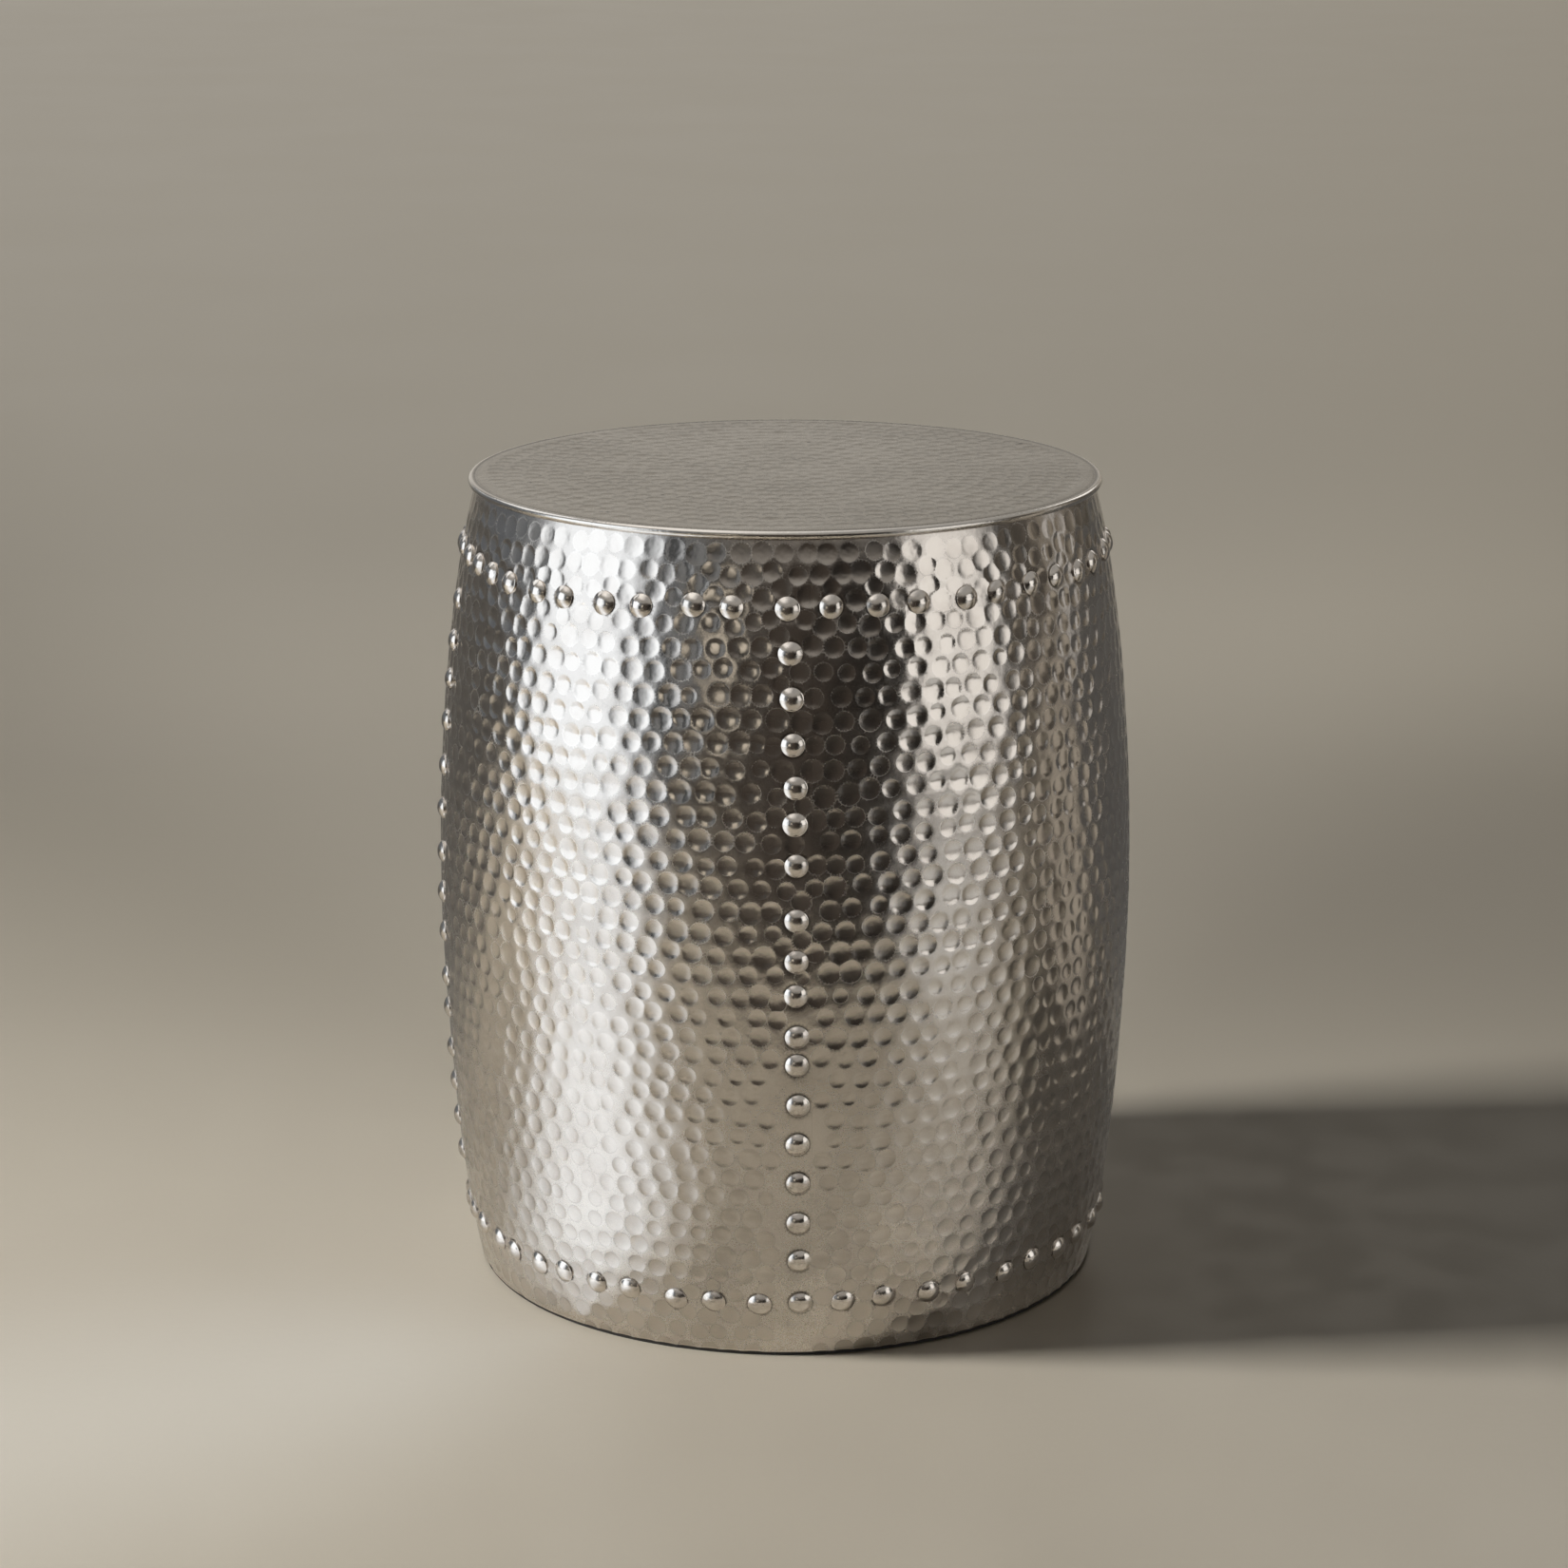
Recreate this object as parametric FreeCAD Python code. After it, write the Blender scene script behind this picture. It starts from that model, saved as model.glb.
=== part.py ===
import FreeCAD, Part
import os
import math

from FreeCAD import Vector, Placement, Rotation

# Drum side table: a barrel-shaped body of four riveted sheet-metal staves, held
# round an angle hoop at the top and another at the bottom, and closed by a flat
# disc with a wired edge.  Millimetres, +Z up, origin on the drum's axis at the
# level it stands on.  The front faces -Y.  "Azimuth" is measured from the front
# (-Y) towards +X, in degrees.

# ---------------------------------------------------------------- dimensions
HEIGHT = 457.0            # floor to table top, 18 in
SHEET = 1.2               # body sheet thickness
TOP_SHEET = 1.0           # table-top sheet thickness
TOP_RADIUS = 177.3        # over the wired edge
BEAD_RADIUS = 2.2         # outer radius of the rolled edge
WIRE_RADIUS = 1.15        # wire inside the rolled edge
CURL_END_DEG = 160.0      # where the curl stops, tucked under the disc

PAD_HEIGHT = 2.2          # black foot ring under the sheet edge
PAD_OUTER = 177.6
PAD_INNER = 165.5

STAVE_BOTTOM = PAD_HEIGHT
STAVE_TOP = 453.2
TONGUE_BOTTOM = 50.0      # the underlap stops between the two hoops
TONGUE_TOP = 403.0
SEAM_GAP_DEG = 0.07       # hairline between butted sheet edges

HOOP_BAND = 2.0           # thickness of both angle hoops
LOWER_HOOP_TOP = 49.0
LOWER_FLANGE_INNER = 164.5
UPPER_HOOP_BOTTOM = 404.0
UPPER_FLANGE_INNER = 150.0
UPPER_FLANGE_OUTER = 171.5

STRAP = 1.5               # backing strap behind each riveted seam
STRAP_BOTTOM = 50.5
STRAP_TOP = 402.5

BRACE_WIDTH = 25.0
BRACE_HEIGHT = 3.0
BRACE_AZIMUTH = 45.0

HEAD_RADIUS = 6.4         # domed rivet head
HEAD_HEIGHT = 3.2
HEAD_LIP = 0.35
SHANK_RADIUS = 2.5
HOLE_RADIUS = 2.55
TAIL_RADIUS = 4.5         # hammered-over inner end
TAIL_HEIGHT = 1.8

# Outer surface of the drum: (height, radius, slope dr/dz), joined by tangent arcs.
PROFILE = [(0.0, 178.00, 0.2607), (55.0, 187.65, 0.1175), (130.0, 194.09, 0.0644),
           (220.0, 197.51, 0.0057), (310.0, 194.53, -0.0711), (390.0, 186.16, -0.1447),
           (449.0, 174.27, -0.2824)]

# Seams: azimuth of the middle of the lap, and of the free edge of the outer sheet.
SEAM_FRONT, EDGE_FRONT = 1.5, 4.2
SEAM_RIGHT, EDGE_RIGHT = 98.5, 101.2
SEAM_BACK, EDGE_BACK = 189.5, 186.8
SEAM_LEFT, EDGE_LEFT = 280.7, 277.4
LAP_HALF = {"front": 2.9, "right": 2.9, "back": 2.9, "left": 3.4}

# Rivets, set by hand, so no two gaps are the same: (azimuth, height).
UPPER_RING = list(zip(
    [-80.5, -73.8, -67.3, -61.1, -54.7, -46.6, -40.1, -31.6, -24.6, -15.4, -8.9, 0.3,
     7.5, 15.4, 22.5, 31.6, 38.1, 46.3, 53.3, 61.0, 67.8, 77.0, 84.0,
     91.8, 99.1, 105.7, 112.5, 119.3, 127.8, 134.6, 142.4, 148.9, 156.9, 163.2, 171.5,
     178.6, 185.0, 192.7, 200.2, 206.5, 214.4, 222.2, 228.4, 236.6, 243.6, 251.2,
     257.5, 264.2, 272.8],
    [420.5, 419.0, 418.0, 416.6, 415.2, 414.7, 414.6, 414.8, 415.6, 418.1, 417.8, 417.4,
     418.2, 417.9, 418.3, 417.7, 418.4, 419.3, 419.8, 418.4, 419.4, 420.6, 421.0,
     418.8, 419.2, 419.4, 420.0, 419.2, 419.9, 416.5, 418.2, 420.0, 418.9, 419.8, 416.8,
     418.2, 417.3, 418.5, 418.6, 416.4, 417.2, 417.5, 419.9, 419.3, 417.0, 419.4,
     416.9, 418.7, 419.3]))
LOWER_RING = list(zip(
    [-81.0, -75.3, -69.4, -61.2, -55.8, -48.0, -41.7, -34.3, -27.5, -18.9, -12.2, -4.4,
     2.5, 9.7, 16.8, 25.2, 32.4, 41.4, 48.1, 56.7, 63.8, 72.9, 81.1,
     89.3, 95.2, 103.6, 110.7, 118.1, 125.5, 131.6, 139.6, 147.2, 154.5, 162.5, 169.5,
     176.5, 183.6, 190.7, 198.1, 205.8, 212.5, 220.5, 227.7, 234.5, 241.6, 249.6,
     256.7, 265.0, 271.7],
    [34.0, 34.3, 32.9, 32.7, 31.6, 31.8, 32.7, 32.1, 33.3, 31.5, 32.6, 32.1,
     33.6, 33.1, 34.0, 32.6, 33.6, 32.5, 34.6, 32.2, 32.9, 31.5, 31.5,
     31.4, 34.0, 32.0, 32.0, 34.3, 34.0, 32.3, 34.3, 33.0, 33.4, 32.0, 34.2,
     33.5, 34.3, 34.1, 32.3, 32.5, 31.9, 31.8, 31.6, 32.3, 33.2, 31.4,
     33.4, 32.4, 32.3]))
SEAM_RIVETS = {
    "front": [(0.8, 394.4), (1.0, 370.8), (1.2, 346.9), (1.6, 324.3), (1.5, 305.0),
              (1.7, 282.9), (1.7, 253.2), (1.7, 230.8), (1.6, 211.9), (1.8, 189.1),
              (1.8, 173.1), (2.0, 150.3), (1.9, 127.8), (2.0, 105.1), (2.1, 81.3),
              (2.3, 59.0)],
    "right": [(98.7, 392.6), (98.5, 368.6), (98.4, 348.6), (98.5, 325.2), (98.6, 304.7),
              (98.2, 282.7), (98.8, 256.6), (98.2, 234.1), (98.7, 217.7), (98.7, 191.5),
              (98.2, 169.1), (98.7, 152.3), (98.4, 126.5), (98.5, 106.9), (98.2, 82.2),
              (98.2, 60.2)],
    "back": [(189.3, 393.8), (189.8, 371.2), (189.3, 348.3), (189.7, 324.4), (189.8, 307.2),
             (189.8, 278.9), (189.4, 260.1), (189.4, 240.5), (189.5, 212.5), (189.7, 193.5),
             (189.2, 171.7), (189.7, 145.4), (189.7, 125.4), (189.8, 105.4), (189.2, 81.4),
             (189.8, 59.4)],
    "left": [(282.4, 392.7), (282.1, 369.0), (282.2, 347.4), (281.7, 323.3), (281.2, 297.0),
             (281.1, 272.0), (281.3, 246.6), (280.9, 222.7), (280.6, 198.9), (280.4, 172.0),
             (280.2, 153.0), (279.8, 128.4), (279.9, 108.3), (279.7, 87.0), (279.5, 66.0)],
}


# ------------------------------------------------------------ barrel profile
def arc_chain():
    """Two arcs per span, tangent to each other and to the slopes in PROFILE.

    Each entry is (centre r, centre z, radius, low z, high z); every centre lies on
    the axis side, so a sheet's inner face is the same arcs with a smaller radius.
    """
    arcs = []
    for (z0, r0, s0), (z1, r1, s1) in zip(PROFILE, PROFILE[1:]):
        l0, l1 = math.hypot(s0, 1.0), math.hypot(s1, 1.0)
        t0, t1 = (s0 / l0, 1.0 / l0), (s1 / l1, 1.0 / l1)
        v = (r1 - r0, z1 - z0)
        vt = v[0] * (t0[0] + t1[0]) + v[1] * (t0[1] + t1[1])
        k = 1.0 - t0[0] * t1[0] - t0[1] * t1[1]
        d = (math.sqrt(vt * vt + 2.0 * k * (v[0] ** 2 + v[1] ** 2)) - vt) / (2.0 * k)
        m = ((r0 + d * t0[0] + r1 - d * t1[0]) / 2.0, (z0 + d * t0[1] + z1 - d * t1[1]) / 2.0)
        for (r, z), t in (((r0, z0), t0), ((r1, z1), t1)):
            w = (m[0] - r, m[1] - z)
            bend = (w[0] ** 2 + w[1] ** 2) / (2.0 * (w[1] * t[0] - w[0] * t[1]))
            arcs.append((r - bend * t[1], z + bend * t[0], bend, min(z, m[1]), max(z, m[1])))
    lo, hi = arcs[0], arcs[-1]
    arcs[0] = lo[:3] + (-50.0, lo[4])
    arcs[-1] = hi[:4] + (HEIGHT,)
    return arcs


ARCS = arc_chain()


def outer(z):
    """Radius and slope dr/dz of the drum's outer surface."""
    for cr, cz, bend, lo, hi in ARCS:
        if z <= hi:
            w = math.sqrt(bend * bend - (z - cz) ** 2)
            return cr + w, -(z - cz) / w
    raise ValueError("height above the drum")


def profile_edges(depth, z0, z1):
    """The profile at a depth inside the outer surface, from height z0 to z1."""
    edges, first, last = [], None, None
    for cr, cz, bend, lo, hi in ARCS:
        r = bend - depth
        a = math.asin((lo - cz) / bend)
        b = math.asin((hi - cz) / bend)
        a = max(a, math.asin(max(-1.0, min(1.0, (z0 - cz) / r))))
        b = min(b, math.asin(max(-1.0, min(1.0, (z1 - cz) / r))))
        if b - a < 1e-9:
            continue
        p = [Vector(cr + r * math.cos(q), 0, cz + r * math.sin(q))
             for q in (a, (a + b) / 2.0, b)]
        edges.append(Part.Arc(p[0], p[1], p[2]).toShape())
        first = first or p[0]
        last = p[2]
    return edges, first, last


def spin(face, az0=0.0, az1=360.0):
    """Turn a face in the XZ half plane round the drum's axis, azimuth az0 to az1."""
    f = face.copy()
    f.rotate(Vector(0, 0, 0), Vector(0, 0, 1), az0 - 90.0)
    solid = f.revolve(Vector(0, 0, 0), Vector(0, 0, 1), az1 - az0)
    if solid.Volume < 0:
        solid.reverse()
    return solid


def shell(depth0, depth1, z0, z1, az0, az1):
    """A curved sheet between two depths, two heights and two azimuths."""
    e_out, o0, o1 = profile_edges(depth0, z0, z1)
    e_in, i0, i1 = profile_edges(depth1, z0, z1)
    return spin(closed_face(e_out + e_in + [Part.makeLine(o1, i1), Part.makeLine(i0, o0)]),
                az0, az1)


def closed_face(edges):
    return Part.Face(Part.Wire(Part.__sortEdges__(edges)))


def polygon_face(points):
    pts = [Vector(r, 0, z) for r, z in points]
    return Part.Face(Part.makePolygon(pts + [pts[0]]))


# -------------------------------------------------------------------- rivets
def frame_at(az, z):
    """Point on the outer surface and the outward normal there."""
    r, s = outer(z)
    th = math.radians(az - 90.0)
    n = math.hypot(1.0, s)
    return (Vector(r * math.cos(th), r * math.sin(th), z),
            Vector(math.cos(th) / n, math.sin(th) / n, -s / n))


def rivet_blank(grip):
    """A set rivet along +Z with its head's seat at z = 0."""
    rise = HEAD_HEIGHT - HEAD_LIP
    ball = (HEAD_RADIUS ** 2 + rise ** 2) / (2.0 * rise)
    half = math.asin(HEAD_RADIUS / ball) / 2.0
    top = Vector(0, 0, HEAD_HEIGHT)
    mid = Vector(ball * math.sin(half), 0, HEAD_HEIGHT - ball + ball * math.cos(half))
    rim = Vector(HEAD_RADIUS, 0, HEAD_LIP)
    bottom = -grip - TAIL_HEIGHT
    pts = [rim, Vector(HEAD_RADIUS, 0, 0), Vector(SHANK_RADIUS, 0, 0),
           Vector(SHANK_RADIUS, 0, -grip), Vector(TAIL_RADIUS, 0, -grip),
           Vector(TAIL_RADIUS, 0, bottom + 0.5), Vector(TAIL_RADIUS - 0.8, 0, bottom),
           Vector(0, 0, bottom), top]
    edges = [Part.Arc(top, mid, rim).toShape()]
    edges += [Part.makeLine(a, b) for a, b in zip(pts, pts[1:])]
    solid = Part.Face(Part.Wire(edges)).revolve(Vector(0, 0, 0), Vector(0, 0, 1), 360)
    if solid.Volume < 0:
        solid.reverse()
    return solid


def set_rivets(places, grip):
    blank = rivet_blank(grip)
    out = []
    for az, z in places:
        p, n = frame_at(az, z)
        r = blank.copy()
        r.Placement = Placement(p, Rotation(Vector(0, 0, 1), n))
        out.append(r)
    return Part.makeCompound(out)


def holes(places):
    out = []
    for az, z in places:
        p, n = frame_at(az, z)
        out.append(Part.makeCylinder(HOLE_RADIUS, 14.0, p - n * 9.0, n))
    return out


ALL_RIVETS = UPPER_RING + LOWER_RING + [q for seam in SEAM_RIVETS.values() for q in seam]


def near(places, az0, az1):
    """Rivets whose azimuth falls in a range, whichever turn it is counted in."""
    out = []
    for az, z in places:
        for turn in (-360.0, 0.0, 360.0):
            if az0 - 2.0 <= az + turn <= az1 + 2.0:
                out.append((az, z))
                break
    return out


def drill(shape, places):
    done = shape.cut(holes(places))
    return done.Solids[0] if len(done.Solids) == 1 else done


# -------------------------------------------------------------------- staves
def stave(az0, az1, tongues=()):
    """One sheet of the body; a tongue is the joggled edge that goes under a lap."""
    body = shell(0.0, SHEET, STAVE_BOTTOM, STAVE_TOP, az0, az1)
    lo, hi = az0, az1
    for t0, t1 in tongues:
        body = body.fuse(shell(SHEET, 2.0 * SHEET, TONGUE_BOTTOM, TONGUE_TOP, t0, t1))
        lo, hi = min(lo, t0), max(hi, t1)
    return drill(body, near(ALL_RIVETS, lo, hi))


def build():
    nodes = {}

    # Table top: flat disc whose edge is rolled down round a wire.
    bead_r = TOP_RADIUS - BEAD_RADIUS
    bead_z = HEIGHT - BEAD_RADIUS
    inner = BEAD_RADIUS - TOP_SHEET

    def on_bead(rad, deg):
        a = math.radians(deg)
        return Vector(bead_r + rad * math.cos(a), 0, bead_z + rad * math.sin(a))

    start, stop = 90.0, CURL_END_DEG - 360.0
    middle = (start + stop) / 2.0
    edges = [
        Part.makeLine(Vector(0, 0, HEIGHT), on_bead(BEAD_RADIUS, start)),
        Part.Arc(on_bead(BEAD_RADIUS, start), on_bead(BEAD_RADIUS, middle),
                 on_bead(BEAD_RADIUS, stop)).toShape(),
        Part.makeLine(on_bead(BEAD_RADIUS, stop), on_bead(inner, stop)),
        Part.Arc(on_bead(inner, stop), on_bead(inner, middle),
                 on_bead(inner, start)).toShape(),
        Part.makeLine(on_bead(inner, start), Vector(0, 0, HEIGHT - TOP_SHEET)),
        Part.makeLine(Vector(0, 0, HEIGHT - TOP_SHEET), Vector(0, 0, HEIGHT)),
    ]
    nodes["top_disc"] = spin(Part.Face(Part.Wire(edges)))
    nodes["rim_wire"] = Part.makeTorus(bead_r, WIRE_RADIUS, Vector(0, 0, bead_z))

    # Upper hoop: an angle ring. The band follows the staves, the flange carries the top.
    under = HEIGHT - TOP_SHEET
    band_top = 451.0
    e_out, o0, o1 = profile_edges(SHEET, UPPER_HOOP_BOTTOM, band_top)
    e_in, i0, i1 = profile_edges(SHEET + HOOP_BAND, UPPER_HOOP_BOTTOM, band_top)
    chain = [o1, Vector(UPPER_FLANGE_OUTER, 0, band_top + 1.0),
             Vector(UPPER_FLANGE_OUTER, 0, under), Vector(UPPER_FLANGE_INNER, 0, under),
             Vector(UPPER_FLANGE_INNER, 0, under - HOOP_BAND),
             Vector(i1.x, 0, under - HOOP_BAND), i1]
    edges = e_out + e_in + [Part.makeLine(a, b) for a, b in zip(chain, chain[1:])]
    nodes["upper_hoop"] = drill(spin(closed_face(edges + [Part.makeLine(i0, o0)])), UPPER_RING)

    # Two flat bars, half-lapped at the middle, welded into the flange under the top.
    for name, az, cut_top in (("cross_brace_a", BRACE_AZIMUTH, False),
                              ("cross_brace_b", BRACE_AZIMUTH + 90.0, True)):
        bar = Part.makeBox(2.0 * UPPER_FLANGE_INNER + 10.0, BRACE_WIDTH, BRACE_HEIGHT,
                           Vector(-UPPER_FLANGE_INNER - 5.0, -BRACE_WIDTH / 2.0,
                                  under - BRACE_HEIGHT))
        bar = bar.common(Part.makeCylinder(UPPER_FLANGE_INNER, 20.0,
                                           Vector(0, 0, under - 10.0)))
        z = under - BRACE_HEIGHT / 2.0 if cut_top else under - BRACE_HEIGHT - 1.0
        bar = bar.cut(Part.makeBox(BRACE_WIDTH, BRACE_WIDTH + 2.0,
                                   BRACE_HEIGHT / 2.0 + 1.0,
                                   Vector(-BRACE_WIDTH / 2.0, -BRACE_WIDTH / 2.0 - 1.0, z)))
        bar.rotate(Vector(0, 0, 0), Vector(0, 0, 1), az - 90.0)
        nodes[name] = bar.Solids[0]

    # Body: four staves. The outer sheet runs over the neighbour's tongue at each seam.
    g = SEAM_GAP_DEG
    over = 0.7
    nodes["stave_front_left"] = stave(EDGE_LEFT - 360.0 + g, EDGE_FRONT - g)
    nodes["stave_front_right"] = stave(
        EDGE_FRONT + g, EDGE_RIGHT - g,
        [(SEAM_FRONT - LAP_HALF["front"], EDGE_FRONT + over)])
    nodes["stave_back_right"] = stave(
        EDGE_RIGHT + g, EDGE_BACK - g,
        [(SEAM_RIGHT - LAP_HALF["right"], EDGE_RIGHT + over),
         (EDGE_BACK - over, SEAM_BACK + LAP_HALF["back"])])
    nodes["stave_back_left"] = stave(
        EDGE_BACK + g, EDGE_LEFT - g,
        [(EDGE_LEFT - over, SEAM_LEFT + LAP_HALF["left"])])

    # Lower hoop: an angle ring whose flange stands on the foot ring.
    e_out, o0, o1 = profile_edges(SHEET, PAD_HEIGHT, LOWER_HOOP_TOP)
    e_in, i0, i1 = profile_edges(SHEET + HOOP_BAND, PAD_HEIGHT + HOOP_BAND, LOWER_HOOP_TOP)
    chain = [i0, Vector(LOWER_FLANGE_INNER, 0, PAD_HEIGHT + HOOP_BAND),
             Vector(LOWER_FLANGE_INNER, 0, PAD_HEIGHT), o0]
    edges = e_out + e_in + [Part.makeLine(a, b) for a, b in zip(chain, chain[1:])]
    nodes["lower_hoop"] = drill(spin(closed_face(edges + [Part.makeLine(o1, i1)])), LOWER_RING)

    # Foot ring that the sheet edge and the lower flange stand on.
    nodes["foot_ring"] = spin(polygon_face([
        (PAD_INNER, 0.0), (PAD_OUTER - 0.4, 0.0), (PAD_OUTER, 0.4),
        (PAD_OUTER, PAD_HEIGHT), (PAD_INNER, PAD_HEIGHT)]))

    # Backing strap and rivets of each seam.
    middles = {"front": SEAM_FRONT, "right": SEAM_RIGHT, "back": SEAM_BACK,
               "left": SEAM_LEFT}
    for side, mid in middles.items():
        half = LAP_HALF[side]
        strap = shell(2.0 * SHEET, 2.0 * SHEET + STRAP, STRAP_BOTTOM, STRAP_TOP,
                      mid - half, mid + half)
        nodes["seam_strap_" + side] = drill(strap, SEAM_RIVETS[side])
        nodes["seam_rivets_" + side] = set_rivets(
            SEAM_RIVETS[side], 2.0 * SHEET + STRAP + 0.06)

    nodes["rivet_ring_upper"] = set_rivets(UPPER_RING, SHEET + HOOP_BAND + 0.06)
    nodes["rivet_ring_lower"] = set_rivets(LOWER_RING, SHEET + HOOP_BAND + 0.06)
    return nodes


os.makedirs("parts", exist_ok=True)
for name, shape in build().items():
    if not shape.isValid():
        print("not valid:", name)
    print("%-20s solids %3d  volume %10.1f mm3  z %.2f to %.2f" % (
        name, len(shape.Solids), shape.Volume, shape.BoundBox.ZMin, shape.BoundBox.ZMax))
    shape.exportStep(os.path.join("parts", name + ".step"))
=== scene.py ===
import math

import bpy
import numpy as np
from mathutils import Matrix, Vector, kdtree
from mathutils.geometry import delaunay_2d_cdt


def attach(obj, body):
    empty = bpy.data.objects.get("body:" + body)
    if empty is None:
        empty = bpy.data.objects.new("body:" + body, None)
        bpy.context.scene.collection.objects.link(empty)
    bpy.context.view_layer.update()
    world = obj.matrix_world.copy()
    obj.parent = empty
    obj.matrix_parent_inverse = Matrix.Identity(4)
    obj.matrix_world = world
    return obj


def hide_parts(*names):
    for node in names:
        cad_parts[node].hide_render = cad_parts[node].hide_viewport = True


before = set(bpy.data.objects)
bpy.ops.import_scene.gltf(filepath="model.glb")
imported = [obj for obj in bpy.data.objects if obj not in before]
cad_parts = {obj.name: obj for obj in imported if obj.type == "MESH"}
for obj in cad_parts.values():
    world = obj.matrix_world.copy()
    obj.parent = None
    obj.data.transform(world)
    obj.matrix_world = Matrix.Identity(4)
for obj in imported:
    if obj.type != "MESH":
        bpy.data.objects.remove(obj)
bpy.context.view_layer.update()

# Drum side table.  Lengths are in millimetres while a surface is worked out and
# in metres once it is a mesh.  A point on the drum's skin is given by its girth
# x (azimuth in radians times GIRTH, azimuth from the front towards +X), its arc
# length s up the profile, and its height h outside the smooth surface.

GIRTH = 190.0
LAP = 2.0 * math.pi * GIRTH
SHEET = 1.2
STAVE_BOTTOM, STAVE_TOP = 2.2, 453.2
TONGUE_BOTTOM, TONGUE_TOP = 50.0, 403.0
HOOP_LOW, HOOP_HIGH = 49.0, 404.0
PROFILE = [(0.0, 178.00, 0.2607), (55.0, 187.65, 0.1175), (130.0, 194.09, 0.0644),
           (220.0, 197.51, 0.0057), (310.0, 194.53, -0.0711), (390.0, 186.16, -0.1447),
           (449.0, 174.27, -0.2824)]
HEIGHT = 457.0
TOP_SHEET = 1.0
TOP_RADIUS, BEAD_RADIUS, CURL_END_DEG = 177.3, 2.2, 160.0

# Free edges of the four staves (azimuth, degrees) and their seams.
EDGES = [-82.6, 4.2, 101.2, 186.8, 277.4]
STAVES = ["stave_front_left", "stave_front_right", "stave_back_right", "stave_back_left"]
TONGUES = {"stave_front_right": [(-1.4, 4.9)],
           "stave_back_right": [(95.6, 101.9), (186.1, 192.4)],
           "stave_back_left": [(276.7, 284.1)]}
SEAMS = [1.7, 98.5, 189.5, 280.7]
HAIRLINE = 0.02


# --------------------------------------------------------------------- profile
def arc_chain():
    arcs = []
    for (z0, r0, s0), (z1, r1, s1) in zip(PROFILE, PROFILE[1:]):
        l0, l1 = math.hypot(s0, 1.0), math.hypot(s1, 1.0)
        t0, t1 = (s0 / l0, 1.0 / l0), (s1 / l1, 1.0 / l1)
        v = (r1 - r0, z1 - z0)
        vt = v[0] * (t0[0] + t1[0]) + v[1] * (t0[1] + t1[1])
        k = 1.0 - t0[0] * t1[0] - t0[1] * t1[1]
        d = (math.sqrt(vt * vt + 2.0 * k * (v[0] ** 2 + v[1] ** 2)) - vt) / (2.0 * k)
        m = ((r0 + d * t0[0] + r1 - d * t1[0]) / 2.0, (z0 + d * t0[1] + z1 - d * t1[1]) / 2.0)
        for (r, z), t in (((r0, z0), t0), ((r1, z1), t1)):
            w = (m[0] - r, m[1] - z)
            bend = (w[0] ** 2 + w[1] ** 2) / (2.0 * (w[1] * t[0] - w[0] * t[1]))
            arcs.append((r - bend * t[1], z + bend * t[0], bend, min(z, m[1]), max(z, m[1])))
    arcs[0] = arcs[0][:3] + (-50.0, arcs[0][4])
    arcs[-1] = arcs[-1][:4] + (500.0,)
    return np.array(arcs)


ARCS = arc_chain()


def outer(z):
    """Radius and slope of the smooth drum surface at height z."""
    z = np.asarray(z, float)
    i = np.clip(np.searchsorted(ARCS[:, 4], z), 0, len(ARCS) - 1)
    cr, cz, bend = ARCS[i, 0], ARCS[i, 1], ARCS[i, 2]
    w = np.sqrt(bend ** 2 - (z - cz) ** 2)
    return cr + w, -(z - cz) / w


Z_TAB = np.linspace(-5.0, 460.0, 4651)
_r = outer(Z_TAB)[0]
S_TAB = np.concatenate([[0.0], np.cumsum(np.hypot(np.diff(_r), np.diff(Z_TAB)))])
S_TAB -= np.interp(STAVE_BOTTOM, Z_TAB, S_TAB)


def s_at(z):
    return np.interp(z, Z_TAB, S_TAB)


def z_at(s):
    return np.interp(s, S_TAB, Z_TAB)


def place(x, s, h):
    """Position in metres of girth x, arc length s, height h."""
    z = z_at(s)
    r, q = outer(z)
    n = np.sqrt(1.0 + q * q)
    rad, zz, a = r + h / n, z - h * q / n, np.asarray(x) / GIRTH
    return np.stack([rad * np.sin(a), -rad * np.cos(a), zz], -1) * 0.001


def unplace(p):
    """(x, s, h) of a point in metres."""
    p = np.asarray(p, float) * 1000.0
    rad = math.hypot(p[0], p[1])
    i = min(int(np.searchsorted(ARCS[:, 4], p[2])), len(ARCS) - 1)
    cr, cz, bend = ARCS[i, :3]
    d = math.hypot(rad - cr, p[2] - cz)
    z = cz + (p[2] - cz) * bend / d
    return math.atan2(p[0], -p[1]) * GIRTH, float(s_at(z)), d - bend


def stretch(s):
    """True girth over girth coordinate at arc length s."""
    return outer(z_at(s))[0] / GIRTH


def wrap(d):
    return (d + LAP / 2.0) % LAP - LAP / 2.0


def ease(a, b, v):
    t = np.clip((np.asarray(v, float) - a) / (b - a), 0.0, 1.0)
    return t * t * (3.0 - 2.0 * t)


# ------------------------------------------------------------- rivet positions
RIVET_NODES = ["seam_rivets_front", "seam_rivets_right", "seam_rivets_back",
               "seam_rivets_left", "rivet_ring_upper", "rivet_ring_lower"]


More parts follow.
